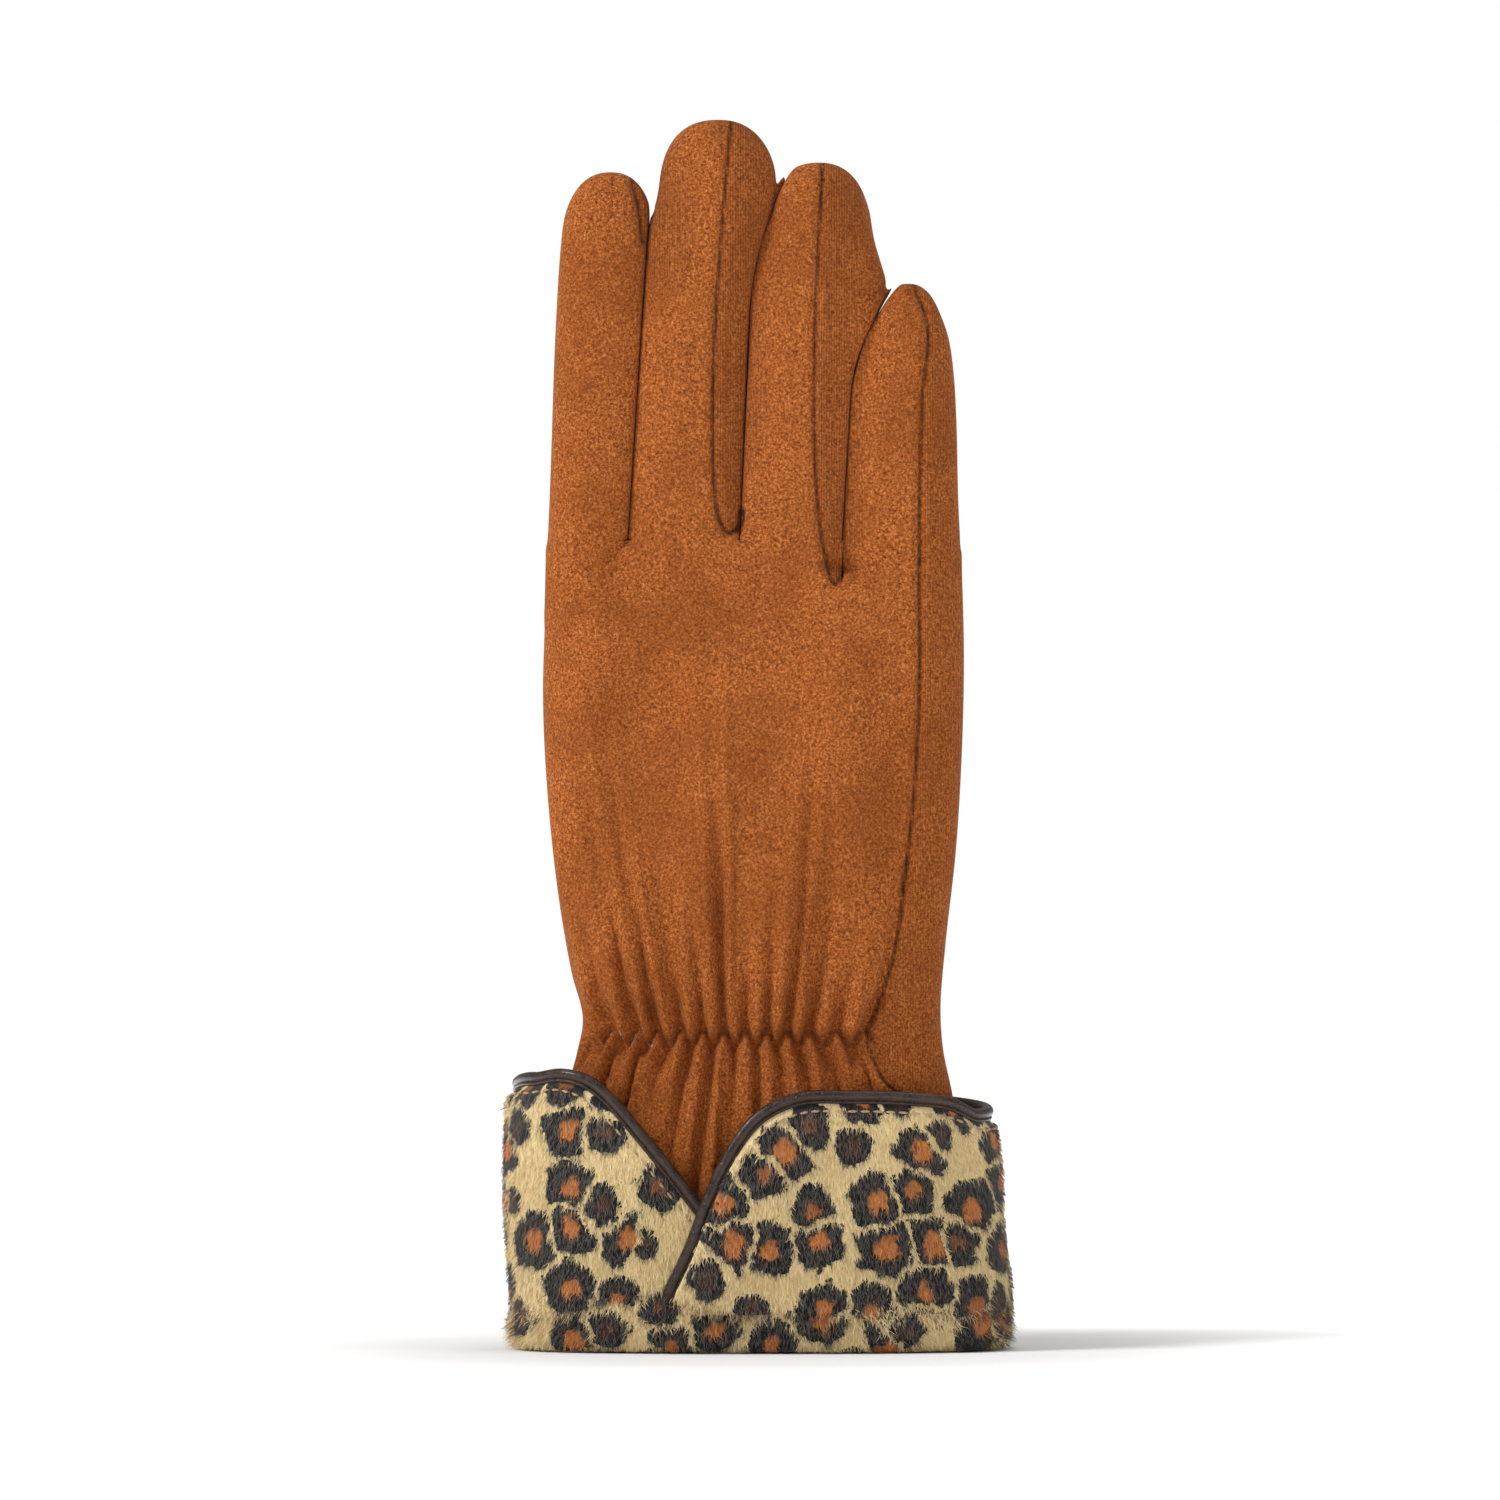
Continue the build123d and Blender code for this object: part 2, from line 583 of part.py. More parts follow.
def topstitching(edge, clear_of):
    """A row of thread stitches just inside a flap's free edge, on its outer face."""
    with BuildLine(mode=Mode.PRIVATE) as free:
        Spline(*edge)
    path = free.edge()
    with BuildPart(mode=Mode.PRIVATE) as row:
        for i in range(1, int(path.length / STITCH_PITCH)):
            share = i * STITCH_PITCH / path.length
            at, along = path @ share, path % share
            x, z = at.X - clear_of * along.Y * STITCH_INSET, at.Y + clear_of * along.X * STITCH_INSET
            if abs(x - CUFF_CENTRE_X) > STITCHED_SHARE * CUFF_WIDTH / 2 or z < BAND_HEIGHT + STITCH_LENGTH:
                continue
            if clear_of > 0 and z < LEFT_EDGE[1][1] + STITCH_INSET:
                continue
            y, turned = cuff_y(x)
            normal = Vector(sin(turned), -cos(turned), 0)
            across = Vector(cos(turned), sin(turned), 0)
            direction = across * along.X + Vector(0, 0, along.Y)
            middle = Vector(x, y, z) + normal * (STITCH_SEAT + STITCH_HEIGHT / 2)
            with Locations(Plane(origin=middle, x_dir=direction, z_dir=normal)):
                Box(STITCH_LENGTH, STITCH_WIDTH, STITCH_HEIGHT)
    return row


right_face = flap_outline(RIGHT_EDGE, 1)
left_face = flap_outline(LEFT_EDGE, -1)
right_keep_out = grown(right_face, PIPING_WIDTH + FLAP_GAP)
wrap = PIPING_WRAP
middle_inset = (CUFF_WALL - PIPING_THICKNESS) / 2
for side_name, side, face, taken in (("right", 1, right_face, None), ("left", -1, left_face, right_keep_out)):
    ring = cuff_tube(0, BAND_HEIGHT, 2 * FAR)
    bore = cuff_tube(CUFF_WALL, BAND_HEIGHT - CUT_SPARE, 2 * FAR + CUT_SPARE)
    flap_face = less(face, taken)
    with BuildPart() as flap:
        add(ring)
        add(bore, mode=Mode.SUBTRACT)
        add(flap_zone(flap_face, back_outline_of(side, 0)), mode=Mode.INTERSECT)
    save(flap, f"cuff_flap_{side_name}")
    bead_zone = flap_zone(less(grown(face, PIPING_WIDTH), taken), back_outline_of(side, PIPING_WIDTH))
    cord_zone = flap_zone(less(grown(face, PIPING_WIDTH - wrap), taken), back_outline_of(side, PIPING_WIDTH - wrap))
    seam_zone = flap_zone(less(grown(face, wrap), taken), back_outline_of(side, wrap))
    with BuildPart() as cord:
        add(cuff_tube(middle_inset + wrap, BAND_HEIGHT + wrap, 2 * FAR))
        add(cuff_tube(CUFF_WALL - middle_inset - wrap, BAND_HEIGHT, 2 * FAR), mode=Mode.SUBTRACT)
        add(cord_zone, mode=Mode.INTERSECT)
        add(seam_zone, mode=Mode.SUBTRACT)
    save(cord, f"piping_cord_{side_name}")
    with BuildPart() as piping:
        add(cuff_tube(middle_inset, BAND_HEIGHT, 2 * FAR))
        add(cuff_tube(CUFF_WALL - middle_inset, BAND_HEIGHT - CUT_SPARE, 2 * FAR), mode=Mode.SUBTRACT)
        add(bead_zone, mode=Mode.INTERSECT)
        add(flap_zone(flap_face, back_outline_of(side, 0)), mode=Mode.SUBTRACT)
        add(cord.part, mode=Mode.SUBTRACT)
    save(piping, f"piping_{side_name}")

save(topstitching(RIGHT_EDGE, -1), "topstitching_right")
save(topstitching(LEFT_EDGE, 1), "topstitching_left")
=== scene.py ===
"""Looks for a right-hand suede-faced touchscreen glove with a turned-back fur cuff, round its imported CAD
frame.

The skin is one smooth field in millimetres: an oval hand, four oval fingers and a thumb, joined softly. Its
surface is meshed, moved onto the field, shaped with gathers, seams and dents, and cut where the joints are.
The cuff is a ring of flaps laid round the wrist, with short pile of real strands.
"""

import json
import math

import bmesh
import bpy
import numpy as np
import openvdb as vdb
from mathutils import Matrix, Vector

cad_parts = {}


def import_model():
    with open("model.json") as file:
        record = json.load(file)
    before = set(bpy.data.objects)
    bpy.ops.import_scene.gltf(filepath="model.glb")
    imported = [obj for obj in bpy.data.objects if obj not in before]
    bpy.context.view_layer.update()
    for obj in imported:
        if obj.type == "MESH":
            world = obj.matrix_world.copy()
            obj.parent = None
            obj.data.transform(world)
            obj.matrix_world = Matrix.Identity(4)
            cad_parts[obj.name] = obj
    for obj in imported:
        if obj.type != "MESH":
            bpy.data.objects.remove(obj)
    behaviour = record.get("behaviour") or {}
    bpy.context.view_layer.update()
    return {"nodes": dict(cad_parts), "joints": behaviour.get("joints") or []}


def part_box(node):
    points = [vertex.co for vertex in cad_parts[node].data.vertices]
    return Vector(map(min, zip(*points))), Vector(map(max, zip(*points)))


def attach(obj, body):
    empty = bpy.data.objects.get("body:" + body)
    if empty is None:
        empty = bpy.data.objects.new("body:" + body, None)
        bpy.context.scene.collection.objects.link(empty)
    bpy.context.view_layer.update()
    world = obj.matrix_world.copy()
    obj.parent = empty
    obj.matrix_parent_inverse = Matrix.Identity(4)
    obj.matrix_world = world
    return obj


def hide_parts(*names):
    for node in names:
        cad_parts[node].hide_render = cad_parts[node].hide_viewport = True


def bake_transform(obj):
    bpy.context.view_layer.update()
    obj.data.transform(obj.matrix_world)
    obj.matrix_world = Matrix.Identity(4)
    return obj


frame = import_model()

MM = 0.001
JOINTS = {j["name"]: j for j in frame["joints"]}
rng = np.random.default_rng(11)


def joint_mm(name):
    """A joint's place, in millimetres."""
    return np.array(JOINTS[name]["pos_m"]) / MM


def box_mm(node):
    low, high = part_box(node)
    return np.array(low) / MM, np.array(high) / MM


# ---------------------------------------------------------------- small maths
def smooth(t):
    t = np.clip(t, 0, 1)
    return t * t * (3 - 2 * t)


def soft_min(a, b, k):
    h = np.clip(0.5 + 0.5 * (b - a) / k, 0, 1)
    return b + (a - b) * h - k * h * (1 - h)


def soft_max(a, b, k):
    return -soft_min(-a, -b, k)


def curve(*points):
    """A smooth function through the given (at, value) pairs, level beyond both ends."""
    at = np.array([p[0] for p in points], float)
    value = np.array([p[1] for p in points], float)
    slope = np.diff(value) / np.diff(at)
    tangent = np.concatenate(([slope[0]], (slope[1:] + slope[:-1]) / 2, [slope[-1]]))

    def read(q):
        q = np.clip(q, at[0], at[-1])
        i = np.clip(np.searchsorted(at, q) - 1, 0, len(at) - 2)
        h = at[i + 1] - at[i]
        t = (q - at[i]) / h
        start = (1 + 2 * t) * (1 - t) ** 2 * value[i] + t * (1 - t) ** 2 * h * tangent[i]
        return start + t * t * (3 - 2 * t) * value[i + 1] + t * t * (t - 1) * h * tangent[i + 1]

    return read


def path(points, per_span=12):
    """Points along a smooth line through the given ones."""
    pts = np.array(points, float)
    steps = np.concatenate(([0], np.cumsum(np.linalg.norm(np.diff(pts, axis=0), axis=1))))
    reads = [curve(*zip(steps, pts[:, i])) for i in range(pts.shape[1])]
    s = np.linspace(0, steps[-1], per_span * (len(pts) - 1) + 1)
    return np.stack([read(s) for read in reads], 1)


def distance_to(line, x, z):
    """(distance from each x, z to a line of points, the side it lies on)."""
    best = np.full(np.shape(x), 1e9)
    side = np.zeros(np.shape(x))
    for (ax, az), (bx, bz) in zip(line[:-1], line[1:]):
        dx, dz = bx - ax, bz - az
        length = math.hypot(dx, dz)
        t = np.clip(((x - ax) * dx + (z - az) * dz) / length**2, 0, 1)
        d = np.hypot(x - ax - t * dx, z - az - t * dz)
        near = d < best
        best = np.where(near, d, best)
        side = np.where(near, (x - ax) * dz - (z - az) * dx, side)
    return best, side


# ---------------------------------------------------------------- the hand's field
HEM_Z = box_mm("back_gauntlet")[0][2]
ROOT_Z = 162.0  # where the index, middle and ring fingers leave the hand
LITTLE_ROOT_Z = 153.6
TUCK_Z = 149.0  # a finger's skin goes on inside the hand down to here
SLOT_HALF = 0.05  # half the gap between two neighbouring fingers
SLOT_LEAN = 0.045  # how far the gap moves in x for each millimetre of depth, which closes it to the eye
FABRIC = 2.6  # from the suede's face to the lining's

HAND_LEFT = curve((0, -44.8), (30, -41.6), (50, -38.2), (60, -35.6), (66, -34.6), (75, -36.8), (90, -39.4),
                  (110, -41.6),
                  (130, -42.6), (150, -42.1), (165, -41.8))
HAND_RIGHT = curve((0, 46.2), (30, 43.0), (50, 39.8), (60, 37.8), (68, 37.3), (80, 38.2), (100, 40.4),
                   (120, 41.6),
                   (140, 42.0), (165, 41.2))
HAND_DEPTH = curve((0, 18), (30, 16.4), (50, 14.6), (63, 12.8), (80, 13.2), (120, 13.2), (138, 12.0), (150,
                                                                                                       10.0),
                   (160, 8.6), (170, 8.2))
HAND_END = curve((-42, 164), (-25, 163), (-3, 164.2), (9, 160), (17.5, 155.5), (24, 156), (42, 163))
HAND_POWER = 2.7


def line_at(low, high, bend_from=300.0, bend=0.0):
    """The x of a gap between two fingers, straight from z 160 to 235 and bending to the right above a
    height."""

    def read(z):
        return low + (high - low) * (z - 160) / 75 + bend * np.clip(z - bend_from, 0, None) ** 2

    return read


GAPS = {
    "index_middle": line_at(-25.4, -20.6),
    "middle_ring": line_at(-2.9, 0.3, 207, 0.0078),
    "ring_little": line_at(17.6, 22.1, 190, 0.0139),
}
JOIN_SOFTNESS, JOIN_LEAST = 5.0, 0.5


def join_softness(z):
    """How softly the fingers join the hand, in millimetres: broadly low down and sharply at the
    crotches."""
    return np.interp(z, (148, 160), (JOIN_SOFTNESS, JOIN_LEAST))


class Finger:
    def __init__(self, name, centre, width, depth, tip_z, dome, left, right, root_z):
        self.name, self.tip_z, self.dome = name, tip_z, dome
        self.centre, self.width, self.depth = curve(*centre), curve(*width), curve(*depth)
        self.left, self.right, self.root_z = left, right, root_z
        self.knuckle_z = joint_mm(f"{name}_knuckle")[2]
        self.bend_z = joint_mm(f"{name}_bend")[2]

    def field(self, x, y, z):
        press = 0.14 * smooth((self.tip_z - 12 - z) / 12)  # neighbours are pressed flat against each other
        from_centre = x - self.centre(z)
        pressed = np.where(from_centre < 0, press * bool(self.left), press * bool(self.right))
        u = from_centre / (self.width(z) * (1 + pressed))
        v = y / self.depth(z)
        power = np.where(u < 0, 2.5, 2.15)  # the left shoulder is the steeper one
        cap = np.clip((z - self.tip_z + self.dome) / self.dome, 0, None)
        size = (np.abs(u) ** power + np.abs(v) ** power + cap**power) ** (1 / power)
        # Inside the hand a finger keeps clear of the hand's own face.
        sunk = join_softness(z) - JOIN_LEAST
        return soft_max((size - 1) * self.depth(z) + sunk, TUCK_Z - 1 - z, 4)

    def lane(self, x, y, z):
        """Positive outside the finger's own lane."""
        out = np.full(np.shape(x), -99.0)
        if self.left:
            out = np.maximum(out, GAPS[self.left](z) + SLOT_LEAN * y + SLOT_HALF - x)
        if self.right:
            out = np.maximum(out, x - GAPS[self.right](z) - SLOT_LEAN * y + SLOT_HALF)
        return out


FINGERS = (
    Finger("index", ((140, -34.2), (160, -32.8), (215, -30.0), (236, -28.6)),
           ((140, 9.2), (160, 9.0), (205, 9.5), (222, 9.4), (236, 8.8)),
           ((140, 8.8), (200, 8.2), (236, 7.2)), 236.0, 13, None, "index_middle", ROOT_Z),
    Finger("middle", ((140, -14.6), (160, -14.0), (215, -10.6), (228, -8.0), (247, -6.9)),
           ((140, 11.6), (160, 11.5), (205, 11.2), (228, 11.7), (247, 12.0)),
           ((140, 9.0), (205, 8.6), (247, 7.8)), 246.6, 15, "index_middle", "middle_ring", ROOT_Z),
    Finger("ring", ((140, 7.0), (160, 7.5), (195, 10.6), (213, 12.3), (226, 12.9), (238, 13.3)),
           ((140, 11.6), (160, 11.6), (195, 12.4), (213, 12.3), (219, 11.5), (227, 10.5), (238, 10.4)),
           ((140, 9.0), (200, 8.4), (238, 7.4)), 238.0, 14, "middle_ring", "ring_little", ROOT_Z),
    Finger("little", ((140, 29.4), (160, 29.3), (186, 29.7), (202, 30.5), (214, 30.8)),
           ((140, 12.2), (152, 12.1), (160, 12.0), (170, 11.5), (186, 10.8), (194, 10.0), (202, 8.7),
            (208, 7.8), (214, 7.8)),
           ((140, 8.4), (180, 7.8), (214, 6.8)), 213.8, 15, "ring_little", None, LITTLE_ROOT_Z),
)
BY_NAME = {f.name: f for f in FINGERS}


def hand_field(x, y, z):
    left, right, depth = HAND_LEFT(z), HAND_RIGHT(z), HAND_DEPTH(z)
    u = (x - (left + right) / 2) / ((right - left) / 2)
    size = (np.abs(u) ** HAND_POWER + np.abs(y / depth) ** HAND_POWER) ** (1 / HAND_POWER)
    return soft_max((size - 1) * depth, z - HAND_END(x), 4)


def whole_field(x, y, z):
    """The hand with its four fingers, joined softly below the roots and sharply above them."""
    softness = join_softness(z)
    field = hand_field(x, y, z)
    for f in FINGERS:
        field = soft_min(field, f.field(x, y, z), softness)
    return field


def finger_field(f):
    """The field of one finger in its own lane, tucked a little inwards below its root."""

    def read(x, y, z):
        tuck = 0.8 * smooth((f.root_z - z) / 2.5)
        return soft_max(whole_field(x, y, z), f.lane(x, y, z), 1.0) + tuck

    return read


# ---------------------------------------------------------------- the thumb's field
THUMB_PIVOT = joint_mm("thumb_swing")
THUMB_JOINT = joint_mm("thumb_bend")
THUMB_AXIS = (THUMB_JOINT - THUMB_PIVOT) * (1, 0, 1)
THUMB_AXIS = THUMB_AXIS / np.linalg.norm(THUMB_AXIS)
THUMB_SIDE = np.array([THUMB_AXIS[2], 0, -THUMB_AXIS[0]])
THUMB_LENGTH, THUMB_DOME = 68.0, 15.0
THUMB_WIDTH = curve((0, 11.2), (20, 10.6), (38, 10.0), (50, 10.2), (68, 8.8))
THUMB_DEPTH = curve((0, 8.8), (38, 8.2), (68, 7.6))
HUB_RADIUS, HUB_TOP_Y, HUB_FOOT_Y = 14.6, 32.0, 4.0


def thumb_places(x, y, z):
    """(along the thumb, across it, away from the palm) of a point, from the thumb's root."""
    dx, dz = x - THUMB_PIVOT[0], z - THUMB_PIVOT[2]
    along = dx * THUMB_AXIS[0] + dz * THUMB_AXIS[2]
    across = dx * THUMB_SIDE[0] + dz * THUMB_SIDE[2]
    return along, across, y - THUMB_JOINT[1]


def thumb_field(x, y, z):
    along, across, away = thumb_places(x, y, z)
    cap = np.clip((along - THUMB_LENGTH + THUMB_DOME) / THUMB_DOME, 0, None)
    depth = THUMB_DEPTH(along)
    size = (np.abs(across / THUMB_WIDTH(along)) ** 2.3 + np.abs(away / depth) ** 2.3 + cap**2.3) ** (1 / 2.3)
    tube = soft_max((size - 1) * depth, -4 - along, 6)
    radius = np.hypot(x - THUMB_PIVOT[0], z - THUMB_PIVOT[2])
    rise = np.clip((y - 15) / (HUB_TOP_Y - 15), 0, None)
    hub = (np.sqrt((radius / HUB_RADIUS) ** 2 + rise**2) - 1) * HUB_RADIUS
    return soft_min(soft_max(hub, HUB_FOOT_Y - y, 1), tube, 5)


# ---------------------------------------------------------------- seams, gathers and dents of the skin
MIDDLE_SEAM = path(((-4.2, 249), (-4.6, 246), (-6.6, 224), (-7.8, 206), (-8.4, 190), (-8.0, 172), (-7.2,
                                                                                                   166.6),
                    (-5.2, 163.6), (-3.2, 164.6), (-2.6, 168)))
RING_SEAM = path(((13.8, 241), (13.6, 237), (12.0, 202), (12.0, 180), (12.8, 168), (14.2, 158.5), (16.2,
                                                                                                   153.2),
                  (17.3, 155)))
INDEX_SEAM = path(((-24.9, 239), (-24.6, 235), (-23.2, 229), (-22.4, 222)))
SIDE_SEAM = path(((31.6, 216), (32.2, 213), (34.6, 206), (33.6, 190), (33.0, 158), (33.0, 130), (31.4,
                                                                                                 106),
                  (28.0, 80),
                  (25.0, 69.5), (22.4, 62.5), (24.8, 55), (30, 49), (36, 40), (38, 20), (38.6, -4)))
SEAMS = (MIDDLE_SEAM, RING_SEAM, INDEX_SEAM, SIDE_SEAM)
INDEX_CREASE = path(((-26, 162), (-29, 158.5), (-33, 156.5)))
SEAM_FAR = 6.0  # beyond this distance the material shows nothing of a seam

ELASTIC_Z = 62.6
GATHER_X = (-33.5, -28.6, -23.4, -19.7, -14.8, -10.5, -6.3, -2.0, 2.3, 6.3, 10.6, 16.1, 21.8, 28.0)
GATHER_RISE = (9, 12, 20, 30, 13, 17, 40, 12, 15, 34, 16, 11, 24, 7)  # how far each crease runs up
GATHER_FALL = (8, 12, 18, 9, 24, 40, 9, 16, 9, 14, 12, 14, 9, 6)  # and each one between them, down
GATHER_DEPTH = 4.8

# Broad dents and swellings of the back of the hand: x, z, half width, half height, outwards in
# SWELL_HEIGHT.
SWELL_HEIGHT = 2.6
SWELLS = (
    (-20, 152, 16, 5, -0.9), (4, 148, 14, 7, -1.2), (-19, 127, 11, 8, -1.4), (-29, 101, 9, 9, -1.3),
    (-6, 113, 7, 18, 0.9), (17, 122, 8, 28, 1.0), (28, 110, 5, 30, -0.8), (-34, 128, 6, 20, 0.7), (-17, 92,
                                                                                                   4, 16,
                                                                                                   -0.8),
    (-7, 88, 4, 13, -0.9), (6, 96, 7, 16, 0.6), (13, 82, 4, 12, -0.8), (-30, 143, 9, 7, 0.6), (30, 148, 8,
                                                                                               10, 0.5),
)


def gather_phase(x):
    """How many creases lie to the left of x at the elastic."""
    return np.interp(x, GATHER_X, np.arange(len(GATHER_X)))


def gathers(x, z):
    """Outward height of the folds that the wrist elastic draws up: lobes above and below it that
    interleave."""
    phase = gather_phase(x)
    zigzag = ELASTIC_Z + 2.0 * np.cos(2 * math.pi * phase)
    above = z - zigzag
    centre, fan = -3.0, np.where(above > 0, 0.011, 0.02)
    spread = centre + (x - centre) / (1 + fan * np.abs(above))
    phase = gather_phase(spread)
    inside = smooth((spread + 35) / 4) * smooth((24.5 - spread) / 3)
    upper = np.abs(np.sin(math.pi * phase)) ** 0.85
    lower = np.abs(np.cos(math.pi * phase)) ** 0.85
    nearest_up = np.round(phase).astype(int).clip(0, len(GATHER_X) - 1)
    nearest_down = np.floor(phase).astype(int).clip(0, len(GATHER_X) - 1)
    reach = np.where(above > 0, np.array(GATHER_RISE)[nearest_up], np.array(GATHER_FALL)[nearest_down])
    fade = np.exp(-((np.abs(above) / reach) ** 1.3))
    start = smooth(np.abs(above) / 3.5)
    folds = GATHER_DEPTH * np.where(above > 0, upper, lower) * fade * start
    cinch = -2.2 * np.exp(-((above / 1.6) ** 2)) * (1 - 0.3 * start)
    sink = -GATHER_DEPTH * 0.55 * fade * start
    return inside * (folds + sink + cinch)


def wobble(x, y, z):
    """Slow unevenness of soft fabric."""
    a = np.sin(x / 7.1 + 1.7 * np.sin(z / 15.3 + y / 9)) * np.sin(z / 11.7 + 1.3)
    b = np.sin((x + z) / 5.3 + y / 6) * np.sin((x - z) / 8.9 + 0.6)
    return 0.16 * a + 0.09 * b


def seam_facts(x, z):
    """(distance to the nearest seam, how much the point lies on a knitted strip), seen from the front."""
    nearest = np.full(np.shape(x), 99.0)
    strip = np.zeros(np.shape(x))
    for seam in SEAMS:
        distance, side = distance_to(seam, x, z)
        nearest = np.minimum(nearest, distance)
        knitted = 0.7 if seam is SIDE_SEAM else smooth(1.5 - distance / 9.0)
        strip = np.maximum(strip, np.where(side < 0, knitted, 0.0))
    return nearest, strip


def swelling(x, y, z):
    """How far the broad dents and swellings stand out, straight towards the viewer of the back of the
    hand."""
    swells = np.zeros(np.shape(x))
    for cx, cz, rx, rz, rise in SWELLS:
        swells += rise * np.exp(-(((x - cx) / rx) ** 2) - ((z - cz) / rz) ** 2)
    return SWELL_HEIGHT * swells * smooth((-y - 1) / 5)


def relief(x, y, z):
    """Outward height of everything finer that shapes the skin on top of its field."""
    front = smooth((-y - 1) / 5)
    height = wobble(x, y, z) + front * gathers(x, z)
    distance = seam_facts(x, z)[0]
    on_seam = smooth((np.abs(y) - 1) / 3)
    height -= on_seam * 0.5 * np.exp(-((distance / 0.7) ** 2))
    height += on_seam * 0.18 * np.exp(-(((distance - 1.7) / 0.9) ** 2))
    crease = distance_to(INDEX_CREASE, x, z)[0]
    height -= front * 0.8 * np.exp(-((crease / 1.1) ** 2))
    return height


# ---------------------------------------------------------------- meshing
def new_mesh(name, points_mm, faces):
    mesh = bpy.data.meshes.new(name)
    mesh.from_pydata((np.asarray(points_mm) * MM).tolist(), [], [list(map(int, f)) for f in faces])
    mesh.update()
    return mesh


def attribute(mesh, name, values):
    kind = "FLOAT_VECTOR" if np.ndim(values) == 2 else "FLOAT"
    layer = mesh.attributes.get(name) or mesh.attributes.new(name, kind, "POINT")
    key = "vector" if kind == "FLOAT_VECTOR" else "value"
    layer.data.foreach_set(key, np.asarray(values, np.float32).ravel())


def away_from_seams(mesh):
    """Marks all of a mesh as plain suede."""
    attribute(mesh, "seam", np.full(len(mesh.vertices), SEAM_FAR))
    attribute(mesh, "strip", np.zeros(len(mesh.vertices)))


def grid_faces(rows, columns, turned=False):
    """The quads of a grid of points that are listed row by row."""
    corners = (0, columns, columns + 1, 1) if turned else (0, 1, columns + 1, columns)
    starts = [r * columns + c for r in range(rows - 1) for c in range(columns - 1)]
    return [tuple(i + k for k in corners) for i in starts]


def gradient(field, p, step=0.04):
    axes = np.eye(3) * step
    parts = [field(*(p + a).T) - field(*(p - a).T) for a in axes]
    return np.stack(parts, 1) / (2 * step)


def surface(field, low, high, voxel):
    """(points, quads) of the field's zero level inside a box, moved exactly onto it."""
    axes = [np.arange(a, b + voxel, voxel) for a, b in zip(low, high)]
    values = field(*np.meshgrid(*axes, indexing="ij"))
    limit = 3.0 * voxel
    grid = vdb.FloatGrid(limit)
    grid.copyFromArray(np.clip(values, -limit, limit).astype(np.float32))
    points, quads = grid.convertToQuads(isovalue=0.0)
    points = points.astype(float) * voxel + np.array(low)
    for _ in range(4):
        slope = gradient(field, points)
        size = np.clip((slope**2).sum(1), 0.05, None)
        step = (field(*points.T) / size)[:, None] * slope
        length = np.linalg.norm(step, axis=1)
        points -= step * np.minimum(1, 0.5 * voxel / np.maximum(length, 1e-9))[:, None]
    return points, quads


def facing_out(field, points, quads):
    """The same quads, turned so that their normals point out of the field."""
    corner = points[quads]
    normal = np.cross(corner[:, 2] - corner[:, 0], corner[:, 3] - corner[:, 1])
    slope = gradient(field, corner.mean(1))
    return quads if (normal * slope).sum() > 0 else quads[:, ::-1]


def skin_mesh(name, field, low, high, voxel, inset=0.0, shaped=True):
    """The skin of a field as a mesh, with its relief, its seam facts and its own smooth normals kept on the
    points. inset is how far inside the field it lies, which turns it to face inwards, as a lining does."""

    def level(x, y, z):
        return field(x, y, z) + inset

    points, quads = surface(level, low, high, voxel)
    quads = facing_out(level, points, quads)
    slope = gradient(level, points)
    outward = slope / np.linalg.norm(slope, axis=1)[:, None]
    x, y, z = points.T
    distance, strip = seam_facts(x, z)
    if shaped:
        flat_walls = smooth((1 - np.abs(outward[:,
                                                0])) / 0.06)  # fingers press on each other with even faces
        points = points + outward * (relief(x, y, z) * flat_walls)[:, None]
        points[:, 1] -= swelling(x, y, z)
    if inset:
        quads = quads[:, ::-1]
    mesh = new_mesh(name, points, quads)
    mesh.polygons.foreach_set("use_smooth", np.ones(len(mesh.polygons), bool))
    normals = np.zeros(len(mesh.vertices) * 3)
    mesh.vertex_normals.foreach_get("vector", normals)
    attribute(mesh, "kept_normal", normals.reshape(-1, 3))
    attribute(mesh, "seam", np.minimum(distance, SEAM_FAR))
    attribute(mesh, "strip", strip)
    return mesh


def cut_mesh(mesh, planes=(), keep=None, clear=()):
    """The mesh cut along planes, given as a point and a normal, with only the faces that keep allows, by
    centre. Planes in clear also lose what lies on the side that their normal points to."""
    bm = bmesh.new()
    bm.from_mesh(mesh)
    for place, normal in list(planes) + list(clear):
        geometry = bm.verts[:] + bm.edges[:] + bm.faces[:]
        bmesh.ops.bisect_plane(bm, geom=geometry, dist=1e-7, plane_co=Vector(place) * MM,
                               plane_no=Vector(normal),
                               clear_outer=(place, normal) in clear)
    if keep:
        centres = np.array([f.calc_center_median() for f in bm.faces]) / MM
        wanted = keep(*centres.T)
        lost = [f for f, ok in zip(bm.faces[:], wanted) if not ok]
        bmesh.ops.delete(bm, geom=lost, context="FACES")
    piece = bpy.data.meshes.new(mesh.name)
    bm.to_mesh(piece)
    bm.free()
    return piece


def place_piece(mesh, name, material):
    """A mesh as a shown object, with the normals that its points kept from the uncut skin."""
    mesh.name = name
    mesh.polygons.foreach_set("use_smooth", np.ones(len(mesh.polygons), bool))
    kept = mesh.attributes.get("kept_normal")
    if kept:
        normals = np.zeros(len(mesh.vertices) * 3, np.float32)
        kept.data.foreach_get("vector", normals)
        mesh.attributes.remove(kept)
        normals = normals.reshape(-1, 3)
        normals /= np.maximum(np.linalg.norm(normals, axis=1), 1e-9)[:, None]
        mesh.normals_split_custom_set_from_vertices(normals.tolist())
    obj = bpy.data.objects.new(name, mesh)
    bpy.context.scene.collection.objects.link(obj)
    obj.data.materials.append(material)
    return obj


